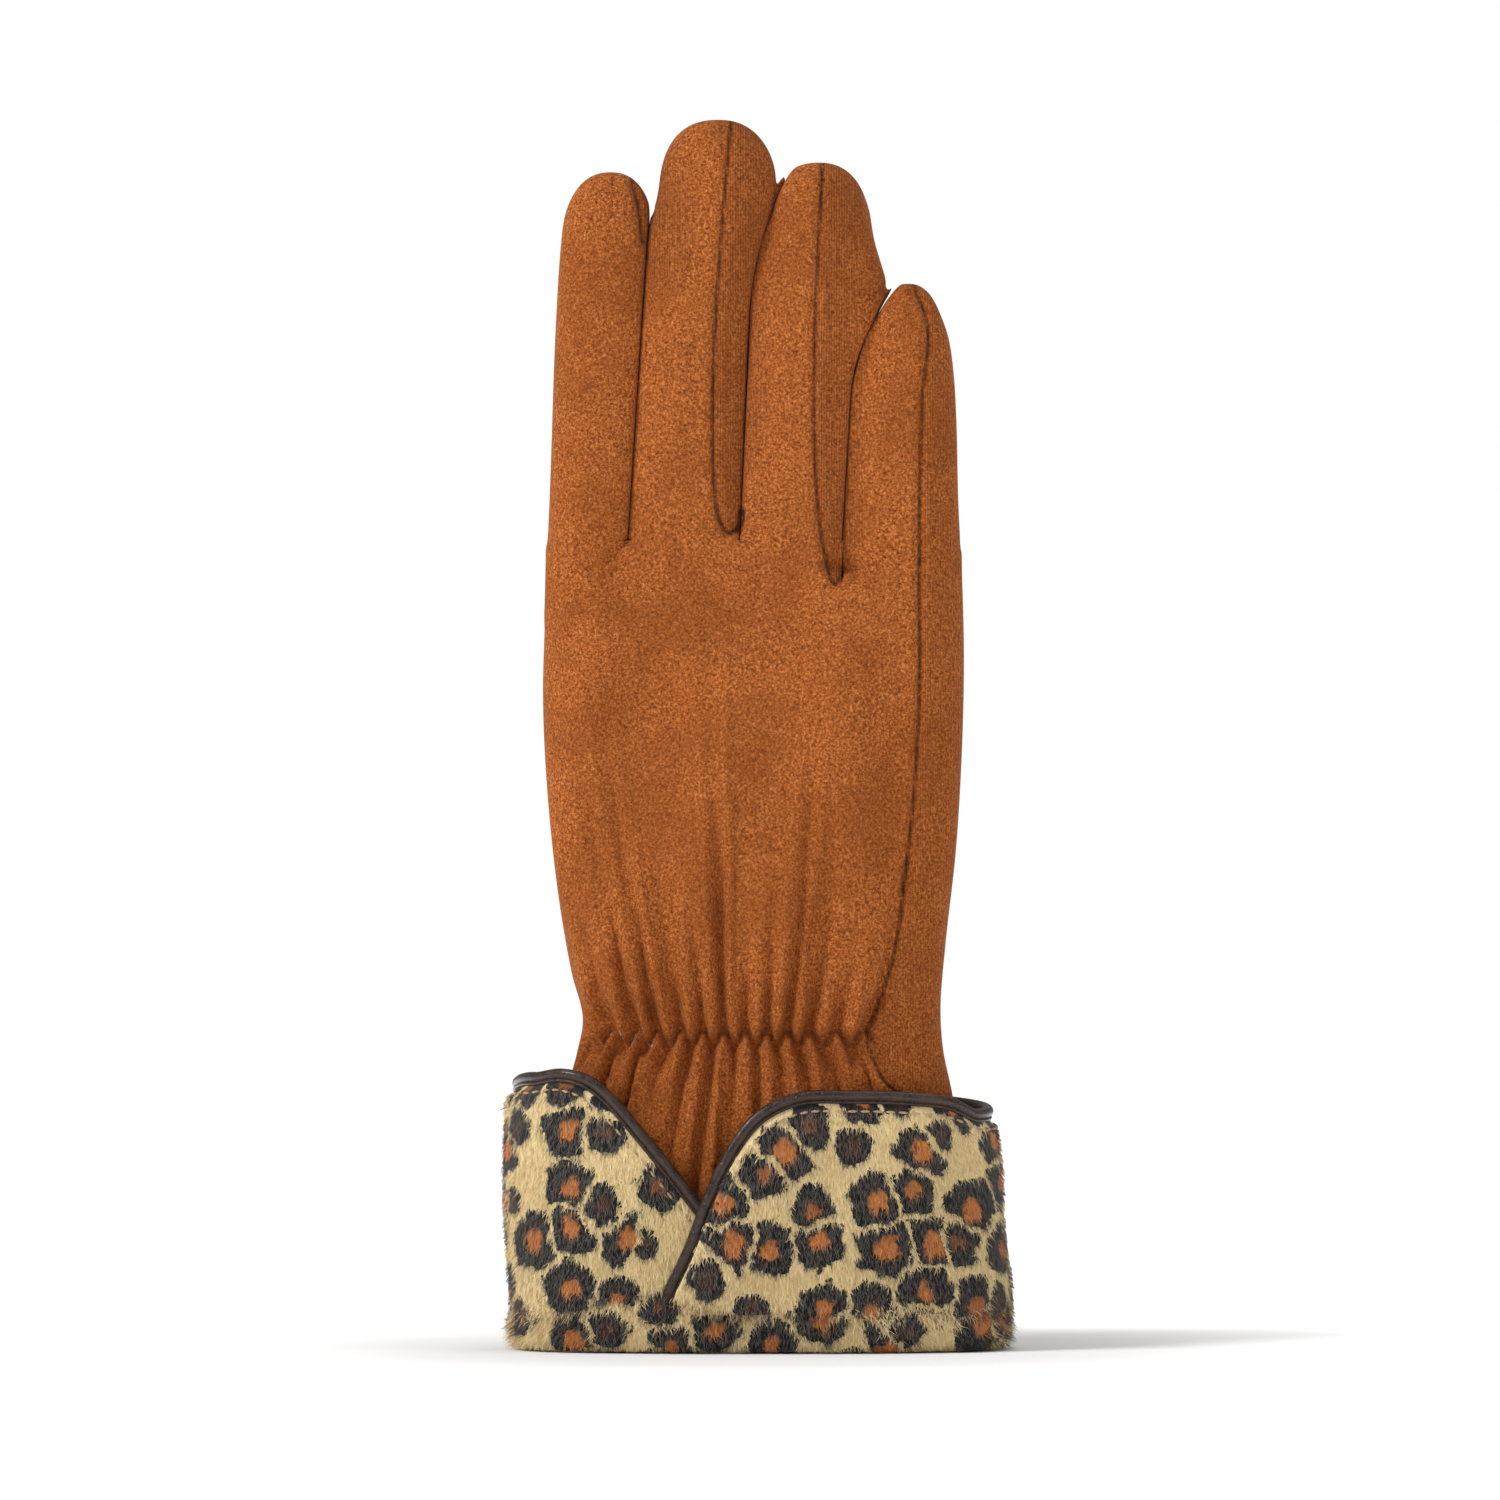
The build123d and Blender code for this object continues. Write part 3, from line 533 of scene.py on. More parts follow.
# ---------------------------------------------------------------- node helpers
class Nodes:
    def __init__(self, name):
        self.material = bpy.data.materials.new(name)
        self.material.use_nodes = True
        self.tree = self.material.node_tree
        self.shader = self.tree.nodes["Principled BSDF"]

    def add(self, kind, **settings):
        node = self.tree.nodes.new(kind)
        for key, value in settings.items():
            setattr(node, key, value)
        return node

    def link(self, source, target):
        self.tree.links.new(source, target)

    def put(self, socket, value):
        if isinstance(value, bpy.types.NodeSocket):
            self.link(value, socket)
        else:
            socket.default_value = value

    def math(self, operation, a, b=0.0, c=0.0, clamp=False):
        node = self.add("ShaderNodeMath", operation=operation, use_clamp=clamp)
        for socket, value in zip(node.inputs, (a, b, c)):
            self.put(socket, value)
        return node.outputs[0]

    def fit(self, value, low, high, to_low=0.0, to_high=1.0, smooth_step=True):
        node = self.add("ShaderNodeMapRange", interpolation_type="SMOOTHSTEP" if smooth_step else "LINEAR")
        for socket, v in zip(node.inputs, (value, low, high, to_low, to_high)):
            self.put(socket, v)
        return node.outputs["Result"]

    def mix(self, share, a, b, blend="MIX"):
        node = self.add("ShaderNodeMix", data_type="RGBA", blend_type=blend)
        self.put(node.inputs["Factor"], share)
        self.put(node.inputs["A"], a if isinstance(a, bpy.types.NodeSocket) else (*a, 1))
        self.put(node.inputs["B"], b if isinstance(b, bpy.types.NodeSocket) else (*b, 1))
        return node.outputs["Result"]

    def place(self, scale=(1, 1, 1), attribute_name=None):
        """Object coordinates in millimetres, or a named attribute, stretched by scale."""
        if attribute_name:
            source = self.add("ShaderNodeAttribute", attribute_name=attribute_name).outputs["Vector"]
            factor = 1.0
        else:
            source = self.add("ShaderNodeTexCoord").outputs["Object"]
            factor = 1000.0
        node = self.add("ShaderNodeVectorMath", operation="MULTIPLY")
        self.link(source, node.inputs[0])
        node.inputs[1].default_value = [factor * s for s in scale]
        return node.outputs[0]

    def noise(self, place, scale, detail=2.0, rough=0.5):
        node = self.add("ShaderNodeTexNoise")
        self.link(place, node.inputs["Vector"])
        node.inputs["Scale"].default_value = scale
        node.inputs["Detail"].default_value = detail
        node.inputs["Roughness"].default_value = rough
        return node.outputs["Fac"]

    def value(self, name):
        return self.add("ShaderNodeAttribute", attribute_name=name).outputs["Fac"]

    def ramp(self, share, *stops):
        node = self.add("ShaderNodeValToRGB")
        elements = node.color_ramp.elements
        while len(elements) < len(stops):
            elements.new(0.5)
        for element, (at, colour) in zip(elements, stops):
            element.position = at
            element.color = (*colour, 1)
        self.link(share, node.inputs[0])
        return node.outputs[0]

    def bump(self, height, distance_mm, strength=1.0, under=None):
        node = self.add("ShaderNodeBump")
        node.inputs["Strength"].default_value = strength
        node.inputs["Distance"].default_value = distance_mm * MM
        self.link(height, node.inputs["Height"])
        if under is not None:
            self.link(under, node.inputs["Normal"])
        return node.outputs[0]

    def done(self, colour=None, normal=None, **plain):
        if colour is not None:
            self.put(self.shader.inputs["Base Color"], colour)
        if normal is not None:
            self.link(normal, self.shader.inputs["Normal"])
        for key, value in plain.items():
            self.put(self.shader.inputs[key.replace("_", " ")], value)
        return self.material


def suede_material():
    """Suede-faced knit: a fine brushed speckle over slow shading of the nap, knit wales on the strips, and
    painted shade in the seams' grooves.
    """
    n = Nodes("suede")
    place = n.place()
    grain = n.noise(place, 1.9, 3.0, 0.7)
    fine = n.noise(place, 4.4, 2.0, 0.6)
    flecks = n.math("ADD", n.math("MULTIPLY", grain, 0.7), n.math("MULTIPLY", fine, 0.3))
    colour = n.ramp(flecks, (0.36, (0.090, 0.021, 0.0050)), (0.46, (0.255, 0.066, 0.0130)), (0.54, (0.385,
                                                                                                    0.110,
                                                                                                    0.0230)),
                    (0.65, (0.640, 0.230, 0.0650)))
    nap = n.noise(place, 0.055, 2.0, 0.55)
    colour = n.mix(n.fit(nap, 0.40, 0.64, 0.0, 0.36), colour, (0.19, 0.045, 0.0070))
    wale = n.add("ShaderNodeTexWave", wave_type="BANDS", bands_direction="X", wave_profile="SIN")
    n.link(n.place((1.0, 0.6, 0.02)), wale.inputs["Vector"])
    wale.inputs["Scale"].default_value = 0.62
    wale.inputs["Distortion"].default_value = 0.5
    wale.inputs["Detail"].default_value = 1.0
    strip = n.value("strip")
    rib = n.math("MULTIPLY", wale.outputs["Fac"], strip)
    colour = n.mix(n.math("MULTIPLY", strip, 0.12), colour, (0.17, 0.036, 0.006))
    colour = n.mix(n.math("MULTIPLY", rib, 0.22), colour, (0.10, 0.022, 0.005))
    seam = n.value("seam")
    groove_and_shade = n.fit(seam, 0.05, 0.6, 1.0, 0.0)
    pucker_shade = n.fit(n.noise(place, 0.8, 2.0), 0.35, 0.6, 0.45, 0.9)
    # Painted shade: the seam's groove is darkened in colour, unevenly along its length, on top of the bump
    # that cuts it in.
    colour = n.mix(n.math("MULTIPLY", groove_and_shade, pucker_shade), colour, (0.045, 0.012, 0.004))
    height = n.math("ADD", n.math("MULTIPLY", flecks, 0.55), n.math("MULTIPLY", rib, -0.5))
    height = n.math("SUBTRACT", height, n.math("MULTIPLY", groove_and_shade, 1.6))
    normal = n.bump(height, 0.34, 0.85)
    material = n.done(colour, normal, Roughness=0.95, Sheen_Weight=0.10, Sheen_Roughness=0.4,
                      Sheen_Tint=(1.0, 0.62, 0.34, 1), Specular_IOR_Level=0.12)
    return material


def fleece_material():
    """Short brushed fleece of the lining."""
    n = Nodes("fleece")
    place = n.place()
    tufts = n.noise(place, 0.9, 4.0, 0.7)
    colour = n.ramp(tufts, (0.32, (0.10, 0.035, 0.012)), (0.50, (0.24, 0.095, 0.034)), (0.70, (0.40, 0.19,
                                                                                               0.085)))
    normal = n.bump(tufts, 0.9, 1.0)
    return n.done(colour, normal, Roughness=0.97, Sheen_Weight=0.5, Sheen_Roughness=0.5,
                  Specular_IOR_Level=0.1)


def fur_material(name, strand):
    """Printed short pile. The print lies in the cuff's own unrolled millimetres, which base and strands
    share."""
    n = Nodes(name)
    place = n.place(attribute_name="print")
    wander = n.add("ShaderNodeTexNoise")
    n.link(place, wander.inputs["Vector"])
    wander.inputs["Scale"].default_value = 0.24
    wander.inputs["Detail"].default_value = 3.0
    wander.inputs["Roughness"].default_value = 0.6
    shift = n.add("ShaderNodeVectorMath", operation="MULTIPLY_ADD")
    n.link(wander.outputs["Color"], shift.inputs[0])
    shift.inputs[1].default_value = (5.5, 5.5, 0)
    n.link(place, shift.inputs[2])
    pitch = 10.2
    found = []
    for feature in ("F1", "DISTANCE_TO_EDGE"):
        cells = n.add("ShaderNodeTexVoronoi", voronoi_dimensions="2D", feature=feature)
        n.link(shift.outputs[0], cells.inputs["Vector"])
        cells.inputs["Scale"].default_value = 1 / pitch
        cells.inputs["Randomness"].default_value = 0.86
        found.append(cells)
    chance = n.add("ShaderNodeSeparateColor")
    n.link(found[0].outputs["Color"], chance.inputs[0])
    radius = n.fit(chance.outputs[0], 0.05, 0.95, 3.1, 7.4, smooth_step=False)
    ragged = n.math("MULTIPLY", n.math("SUBTRACT", n.noise(place, 0.85, 3.0, 0.7), 0.5), 2.6)
    reach = n.math("ADD", n.math("MULTIPLY", found[0].outputs["Distance"], pitch), ragged)
    border = n.math("ADD", n.math("MULTIPLY", found[1].outputs["Distance"], pitch), ragged)
    black = n.math("MULTIPLY", n.fit(n.math("SUBTRACT", reach, radius), -0.2, 0.2, 1.0, 0.0), n.fit(border,
                                                                                                    0.35,
                                                                                                    0.65))
    inner = n.math("SUBTRACT", reach, n.math("MULTIPLY", radius, 0.33))
    large = n.fit(radius, 4.3, 5.3, 0.0, 1.0)
    heart = n.math("MULTIPLY", n.fit(inner, -0.4, 0.25, 1.0, 0.0), large)
    warm = n.math("MULTIPLY", n.fit(inner, -0.2, 1.0, 0.35, 0.0), black)
    heart = n.math("MULTIPLY", heart, black)
    streak = n.noise(n.place((1.0, 0.16, 1.0), "print"), 4.0, 2.0, 0.6)
    ground = n.ramp(streak, (0.30, (0.60, 0.42, 0.18)), (0.50, (0.80, 0.62, 0.31)), (0.72, (0.92, 0.78,
                                                                                            0.46)))
    dark = n.ramp(streak, (0.30, (0.0045, 0.004, 0.0042)), (0.52, (0.013, 0.012, 0.013)), (0.74, (0.05,
                                                                                                  0.046,
                                                                                                  0.05)))
    orange = n.ramp(streak, (0.30, (0.36, 0.105, 0.018)), (0.50, (0.58, 0.19, 0.035)), (0.72, (0.72, 0.28,
                                                                                               0.07)))
    colour = n.mix(black, ground, dark)
    colour = n.mix(warm, colour, (0.16, 0.05, 0.018))
    colour = n.mix(heart, colour, orange)
    if strand:
        lift = n.value("tip")
        colour = n.mix(n.math("MULTIPLY", lift, 0.16), colour, (0.9, 0.82, 0.68))
        return n.done(colour, None, Roughness=0.62, Sheen_Weight=0.15, Specular_IOR_Level=0.3)
    weave = n.noise(n.place((1.0, 0.5, 1.0), "print"), 2.6, 2.0, 0.5)
    height = n.math("ADD", n.math("MULTIPLY", streak, 0.8), n.math("MULTIPLY", weave, 0.5))
    normal = n.bump(height, 0.35, 0.9)
    return n.done(colour, normal, Roughness=0.85, Sheen_Weight=0.3, Sheen_Roughness=0.5,
                  Specular_IOR_Level=0.15)


def piping_material():
    """Glossy dark brown artificial leather with fine creases."""
    n = Nodes("piping_leather")
    place = n.place()
    creases = n.add("ShaderNodeTexVoronoi", feature="DISTANCE_TO_EDGE")
    n.link(place, creases.inputs["Vector"])
    creases.inputs["Scale"].default_value = 1.5
    line = n.fit(creases.outputs["Distance"], 0.0, 0.16)
    cloud = n.noise(place, 0.4, 3.0, 0.6)
    colour = n.ramp(cloud, (0.3, (0.018, 0.0085, 0.0055)), (0.55, (0.034, 0.016, 0.010)), (0.75, (0.062,
                                                                                                  0.030,
                                                                                                  0.019)))
    rough = n.fit(cloud, 0.3, 0.7, 0.24, 0.42)
    height = n.math("ADD", n.math("MULTIPLY", line, 0.6), n.math("MULTIPLY", n.noise(place, 1.4, 2.0), 0.6))
    n.put(n.shader.inputs["Roughness"], rough)
    return n.done(colour, n.bump(height, 0.12, 0.7), Specular_IOR_Level=0.4, Coat_Weight=0.12,
                  Coat_Roughness=0.15)


def thread_material(name, dark, light):
    """Twisted sewing thread."""
    n = Nodes(name)
    twist = n.add("ShaderNodeTexWave", wave_type="BANDS", bands_direction="DIAGONAL")
    n.link(n.place(), twist.inputs["Vector"])
    twist.inputs["Scale"].default_value = 2.2
    colour = n.ramp(twist.outputs["Fac"], (0.2, dark), (0.8, light))
    return n.done(colour, n.bump(twist.outputs["Fac"], 0.08, 0.8), Roughness=0.7, Sheen_Weight=0.2)


def pad_material():
    """Conductive knit: close ribs with a fleck of metallic yarn."""
    n = Nodes("touch_fabric")
    rib = n.add("ShaderNodeTexWave", wave_type="BANDS", bands_direction="X")
    n.link(n.place(), rib.inputs["Vector"])
    rib.inputs["Scale"].default_value = 0.75
    rib.inputs["Distortion"].default_value = 0.4
    course = n.add("ShaderNodeTexWave", wave_type="BANDS", bands_direction="Z")
    n.link(n.place(), course.inputs["Vector"])
    course.inputs["Scale"].default_value = 0.95
    knit = n.math("MULTIPLY", rib.outputs["Fac"], course.outputs["Fac"])
    fleck = n.fit(n.noise(n.place(), 3.4, 1.0), 0.58, 0.66)
    colour = n.ramp(knit, (0.0, (0.10, 0.030, 0.008)), (0.6, (0.26, 0.085, 0.022)), (1.0, (0.36, 0.135,
                                                                                           0.04)))
    colour = n.mix(n.math("MULTIPLY", fleck, 0.5), colour, (0.55, 0.46, 0.38))
    n.put(n.shader.inputs["Metallic"], n.math("MULTIPLY", fleck, 0.6))
    return n.done(colour, n.bump(knit, 0.22, 0.9), Roughness=0.6, Sheen_Weight=0.1)


def woven_material(name, colour_low, colour_high, pitch_mm, roughness=0.6):
    """A flat woven band, such as a label's ribbon or elastic."""
    n = Nodes(name)
    warp = n.add("ShaderNodeTexWave", wave_type="BANDS", bands_direction="X")
    weft = n.add("ShaderNodeTexWave", wave_type="BANDS", bands_direction="Z")
    for wave in (warp, weft):
        n.link(n.place(), wave.inputs["Vector"])
        wave.inputs["Scale"].default_value = 0.31 / pitch_mm
    weave = n.math("MULTIPLY", warp.outputs["Fac"], weft.outputs["Fac"])
    colour = n.ramp(weave, (0.0, colour_low), (1.0, colour_high))
    return n.done(colour, n.bump(weave, 0.1, 0.8), Roughness=roughness, Sheen_Weight=0.1)


SUEDE = suede_material()
FLEECE = fleece_material()
FUR = fur_material("fur_ground", strand=False)
STRANDS = fur_material("fur_strands", strand=True)
LEATHER = piping_material()
TAN_THREAD = thread_material("tan_thread", (0.30, 0.18, 0.07), (0.66, 0.46, 0.22))
PAD = pad_material()
LABEL = woven_material("label_satin", (0.72, 0.70, 0.66), (0.90, 0.89, 0.86), 0.35, 0.4)
ELASTIC = woven_material("elastic_weave", (0.60, 0.58, 0.54), (0.86, 0.85, 0.80), 0.8)


# ---------------------------------------------------------------- hand, fingers and thumb
def in_hand(x, y, z):
    """Faces of the hand's skin: all below the little finger's root, and the other roots' share above it."""
    return (z < LITTLE_ROOT_Z) | (x < GAPS["ring_little"](z))


def make_hand(name, material, voxel, inset):
    mesh = skin_mesh(name, whole_field, (-46, -20, -3), (49, 20, ROOT_Z + 4), voxel, inset)
    little_gap = GAPS["ring_little"](LITTLE_ROOT_Z)
    planes = [((0, 0, LITTLE_ROOT_Z), (0, 0, 1)), ((little_gap, 0, LITTLE_ROOT_Z), (1, 0, -0.06))]
    clear = [((0, 0, ROOT_Z), (0, 0, 1)), ((0, 0, HEM_Z), (0, 0, -1))]
    piece = place_piece(cut_mesh(mesh, planes, in_hand, clear), name, material)
    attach(piece, "root")
    return piece


def make_finger(f, label, material, voxel, inset):
    """The two lengths of a finger's skin, cut halfway between the knuckle and the middle joint."""
    low = (float(f.centre(150)) - 17, -12, TUCK_Z - 1)
    high = (float(f.centre(f.tip_z)) + 17, 12, f.tip_z + 2)
    mesh = skin_mesh(f.name, finger_field(f), low, high, voxel, inset)
    middle_z = (f.knuckle_z + f.bend_z) / 2
    foot = ((0, 0, TUCK_Z), (0, 0, -1))
    split_up, split_down = ((0, 0, middle_z), (0, 0, 1)), ((0, 0, middle_z), (0, 0, -1))
    lower = place_piece(cut_mesh(mesh, clear=[foot, split_up]), f"{f.name}_base_{label}", material)
    upper = place_piece(cut_mesh(mesh, clear=[foot, split_down]), f"{f.name}_tip_{label}", material)
    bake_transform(lower)
    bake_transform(upper)
    return lower, upper


def make_thumb(name, material, voxel, inset):
    low = (THUMB_PIVOT[0] - 19, HUB_FOOT_Y - 1, THUMB_PIVOT[2] - 19)
    high = (THUMB_PIVOT[0] + 24, HUB_TOP_Y + 3, THUMB_PIVOT[2] + THUMB_LENGTH + 4)
    mesh = skin_mesh(name, thumb_field, low, high, voxel, inset, shaped=False)
    away_from_seams(mesh)
    foot = ((0, HUB_FOOT_Y + 4, 0), (0, -1, 0))
    piece = place_piece(cut_mesh(mesh, clear=[foot]), name, material)
    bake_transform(piece)
    return piece


hand = make_hand("hand_skin", SUEDE, 0.62, 0.0)
HAND_NODES = ("back_panel", "back_gauntlet", "palm_panel", "palm_gauntlet", "side_panel",
              "palm_finger_roots")
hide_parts(*HAND_NODES, *(f"{f.name}_knuckle_fold" for f in FINGERS))
hand_fleece = make_hand("hand_fleece", FLEECE, 1.5, FABRIC)
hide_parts("hand_lining")
for f in FINGERS:
    base_skin, tip_skin = make_finger(f, "skin", SUEDE, 0.6, 0.0)
    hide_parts(f"{f.name}_base_suede", f"{f.name}_base_fourchette", f"{f.name}_middle_fold")
    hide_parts(f"{f.name}_tip_suede", f"{f.name}_tip_fourchette")
    base_fleece, tip_fleece = make_finger(f, "fleece", FLEECE, 1.3, FABRIC)
    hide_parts(f"{f.name}_base_lining")
    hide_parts(f"{f.name}_tip_lining")
thumb_skin = make_thumb("thumb_skin", SUEDE, 0.7, 0.0)
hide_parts("thumb_base_suede", "thumb_middle_fold", "thumb_tip_suede")
thumb_fleece = make_thumb("thumb_fleece", FLEECE, 1.3, FABRIC)
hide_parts("thumb_base_lining", "thumb_tip_lining")


# ---------------------------------------------------------------- swept tubes, pads and the thumb's hem
def tube_mesh(points, radius, ring=12, squash=1.0, closed=False):
    """A tube along points in millimetres, as (points, quads), closed at its ends unless it is a loop."""
    pts = np.asarray(points, float)
    ahead = np.roll(pts, -1, 0) - np.roll(pts, 1, 0) if closed else np.gradient(pts, axis=0)
    ahead /= np.linalg.norm(ahead, axis=1)[:, None]
    radius = np.broadcast_to(radius, len(pts))
    out, faces = [], []
    up = np.array([0.0, 0.0, 1.0]) if abs(ahead[0][2]) < 0.8 else np.array([0.0, 1.0, 0.0])
    for p, t, r in zip(pts, ahead, radius):
        up = up - t * (up @ t)
        up /= np.linalg.norm(up)
        side = np.cross(t, up)
        for i in range(ring):
            a = 2 * math.pi * i / ring
            out.append(p + r * (math.cos(a) * up + squash * math.sin(a) * side))
    count = len(pts)
    for j in range(count if closed else count - 1):
        for i in range(ring):
            k, m = (j + 1) % count, (i + 1) % ring
            faces.append((j * ring + i, k * ring + i, k * ring + m, j * ring + m))
    if not closed:
        faces.append(tuple(range(ring)))
        faces.append(tuple(range((count - 1) * ring + ring - 1, (count - 1) * ring - 1, -1)))
    return np.array(out), faces


def joined(parts):
    """Several (points, faces) made one."""
    points, faces, start = [], [], 0
    for p, f in parts:
        points.append(p)
        faces += [tuple(i + start for i in face) for face in f]
        start += len(p)
    return np.concatenate(points), faces


def tube_piece(name, parts, material):
    mesh = new_mesh(name, *joined(parts))
    away_from_seams(mesh)
    return place_piece(mesh, name, material)


def surface_y(field, x, z, low, high):
    """The y between low (inside) and high (outside) at which a line along Y leaves a field."""
    inside, outside = np.full(np.shape(x), low, float), np.full(np.shape(x), high, float)
    for _ in range(40):
        middle = (inside + outside) / 2
        within = field(x, middle, z) < 0
        inside, outside = np.where(within, middle, inside), np.where(within, outside, middle)
    return (inside + outside) / 2


turns = np.linspace(0, 2 * math.pi, 96, endpoint=False)
rim_x = THUMB_PIVOT[0] + (HUB_RADIUS + 0.5) * np.cos(turns)
rim_z = THUMB_PIVOT[2] + (HUB_RADIUS + 0.5) * np.sin(turns)
rim_y = surface_y(hand_field, rim_x, rim_z, 0, 16)
rim_y += wobble(rim_x, rim_y, rim_z)
hem = tube_piece("thumb_hem_roll", [tube_mesh(np.stack([rim_x, rim_y + 0.1, rim_z], 1), 1.0, 10,
                                              closed=True)], SUEDE)
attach(hem, "root")
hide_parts("thumb_hole_hem")


def pad_piece(name, field, centre, size, lean, middle_y, body, node):
    """A thin rounded patch that follows the palm side of a fingertip, with its edge turned down into the
    skin."""
    rows, rings = 72, 16
    points = [(0.0, 0.0)]
    for r in range(1, rings + 1):
        for i in range(rows):
            a = 2 * math.pi * i / rows
            c, s = math.cos(a), math.sin(a)
            reach = (abs(c / size[0]) ** 3 + abs(s / size[1]) ** 3) ** (-1 / 3)
            points.append((c * reach * r / rings, s * reach * r / rings))
    flat = np.array(points)
    x = centre[0] + flat[:, 0] * math.cos(lean) + flat[:, 1] * math.sin(lean)
    z = centre[1] - flat[:, 0] * math.sin(lean) + flat[:, 1] * math.cos(lean)
    y = surface_y(field, x, z, middle_y, middle_y + 14)
    share = np.concatenate(([0], np.repeat(np.arange(1, rings + 1) / rings, rows)))
    y += 0.42 - 1.1 * smooth((share - 0.9) / 0.1)
    faces = [(0, 1 + (i + 1) % rows, 1 + i) for i in range(rows)]
    for r in range(rings - 1):
        for i in range(rows):
            a, b = 1 + r * rows + i, 1 + r * rows + (i + 1) % rows
            faces.append((a, b, b + rows, a + rows))
    piece = place_piece(new_mesh(name, np.stack([x, y, z], 1), faces), name, PAD)
    edge = 1 + (rings - 2) * rows
    ring = np.stack([x, y, z], 1)[edge:edge + rows]
    stitches = []
    for i in range(0, rows, 3):
        a, b = ring[i], ring[(i + 2) % rows]
        lift = np.array([0, 0.12, 0])
        stitches.append(tube_mesh(np.linspace(a, b, 4) + lift, np.array([0.08, 0.19, 0.19, 0.08]), 8))
    sewn = tube_piece(f"{name}_stitches", stitches, TAN_THREAD)
    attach(piece, body)
    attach(sewn, body)
    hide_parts(node)
    return piece


def pad_place(node):
    low, high = box_mm(node)
    return (low[0] + high[0]) / 2, (low[2] + high[2]) / 2


pad_piece("index_pad", BY_NAME["index"].field, pad_place("index_touch_pad"), (5.6, 7.8), 0.05, 0.0,
          "index_tip",
          "index_touch_pad")
pad_piece("thumb_pad", thumb_field, pad_place("thumb_touch_pad"), (5.6, 7.6), math.asin(THUMB_AXIS[0]),
          THUMB_JOINT[1], "thumb_tip", "thumb_touch_pad")

# The elastic lies between the layers, under the gathers.
strip_low, strip_high = box_mm("wrist_elastic")
strip_x = np.linspace(max(strip_low[0], HAND_LEFT(ELASTIC_Z) + 6), min(strip_high[0],
                                                                       HAND_RIGHT(ELASTIC_Z) - 6), 280)
elastic_rows = []
ELASTIC_UNDER = 1.5  # how far under the suede's face it lies
for dz in np.linspace(-2.4, 2.4, 13):
    z = np.full(len(strip_x), ELASTIC_Z + dz)
    y = -surface_y(lambda a, b, c: hand_field(a, -b, c), strip_x, z, 0, 20)
    y += ELASTIC_UNDER - relief(strip_x, y, z)
    elastic_rows.append(np.stack([strip_x, y, z], 1))
elastic_mesh = new_mesh("elastic_strip", np.concatenate(elastic_rows), grid_faces(len(elastic_rows),
                                                                                  len(strip_x)))
elastic = place_piece(elastic_mesh, "elastic_strip", ELASTIC)
thick = elastic.modifiers.new("thickness", "SOLIDIFY")
thick.thickness = 0.4 * MM
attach(elastic, "root")
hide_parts("wrist_elastic")

frame["nodes"]["care_label"].data.materials.clear()
frame["nodes"]["care_label"].data.materials.append(LABEL)

# ---------------------------------------------------------------- cuff
CUFF_X, CUFF_DEPTH, CUFF_POWER = 0.7, 23.0, 2.7
CUFF_LEFT = curve((0, 49.2), (20, 49.8), (40, 50.8), (50, 50.2), (56, 48.0))
CUFF_RIGHT = curve((0, 49.6), (12, 50.2), (25, 49.0), (40, 48.2), (50, 46.6))
BACK_TOP_Z = 49.0
RIGHT_EDGE = path(((-18.6, 7.5), (-17.4, 11), (-13, 20), (-9, 30), (-4.2, 40), (1, 46.6), (9, 50.2), (20,
                                                                                                      50.6),
                   (32, 50.2), (41, 49), (46, 46.6)))
LEFT_EDGE = path(((2, 9), (-6, 21.5), (-12, 29), (-23, 43), (-29.5, 50), (-35, 53.6), (-41, 54.8), (-46,
                                                                                                    54.0)))
RING = 720


def ring_table():
    """(run round the cuff from the middle of the back of the hand, direction in x, direction in y), as a
    unit oval."""
    a = np.linspace(-math.pi, math.pi, RING + 1)
    x = np.sign(np.sin(a)) * np.abs(np.sin(a)) ** (2 / CUFF_POWER)
    y = -np.sign(np.cos(a)) * np.abs(np.cos(a)) ** (2 / CUFF_POWER)
    step = np.hypot(np.diff(x) * 50, np.diff(y) * CUFF_DEPTH)
    run = np.concatenate(([0], np.cumsum(step)))
    return run - run[-1] / 2, x, y


RUN, UNIT_X, UNIT_Y = ring_table()
HALF_RUN = RUN[-1]


def cuff_point(run, z, out=0.0):
    """A point of the cuff at a run round it and a height, moved outwards."""
    run = (run + HALF_RUN) % (2 * HALF_RUN) - HALF_RUN
    ux, uy = np.interp(run, RUN, UNIT_X), np.interp(run, RUN, UNIT_Y)
    width = np.where(ux > 0, CUFF_RIGHT(z), CUFF_LEFT(z))
    x, y = CUFF_X + ux * width, uy * CUFF_DEPTH
    nx = np.sign(ux) * np.abs(ux) ** (CUFF_POWER - 1) / width
    ny = np.sign(uy) * np.abs(uy) ** (CUFF_POWER - 1) / CUFF_DEPTH
    size = np.maximum(np.hypot(nx, ny), 1e-9)
    nx, ny = nx / size, ny / size
    return np.stack([x + nx * out, y + ny * out, z + 0 * x], -1), np.stack([nx, ny, 0 * nx], -1)


def run_of_x(x, z=30.0):
    """The run at which the front of the cuff has a given x."""
    front = (UNIT_Y < 0) | (np.abs(RUN) < HALF_RUN / 2)
    width = np.where(UNIT_X > 0, CUFF_RIGHT(z), CUFF_LEFT(z))
    return np.interp(x, (CUFF_X + UNIT_X * width)[front], RUN[front])


def edge_run(edge, side):
    """A flap's free edge as (run, height) points, from the vent round to the middle of the palm side."""
    run = run_of_x(edge[:, 0])
    z = edge[:, 1]
    back = np.linspace(run[-1], side * HALF_RUN, 60)[1:]
    share = np.linspace(0, 1, 60)[1:]
    back_z = z[-1] + (BACK_TOP_Z - z[-1]) * smooth(share * 1.6)
    return np.concatenate([run, back]), np.concatenate([z, back_z])


def fold_z(run):
    """Height of the flaps' lower roll: highest at the foot of the vent, lower towards the sides."""
    foot = run_of_x(-18.0)
    return 2.0 + 8.2 * np.exp(-np.abs(run - foot) / 26.0) + 0.5 * np.sin(run / 6.0)


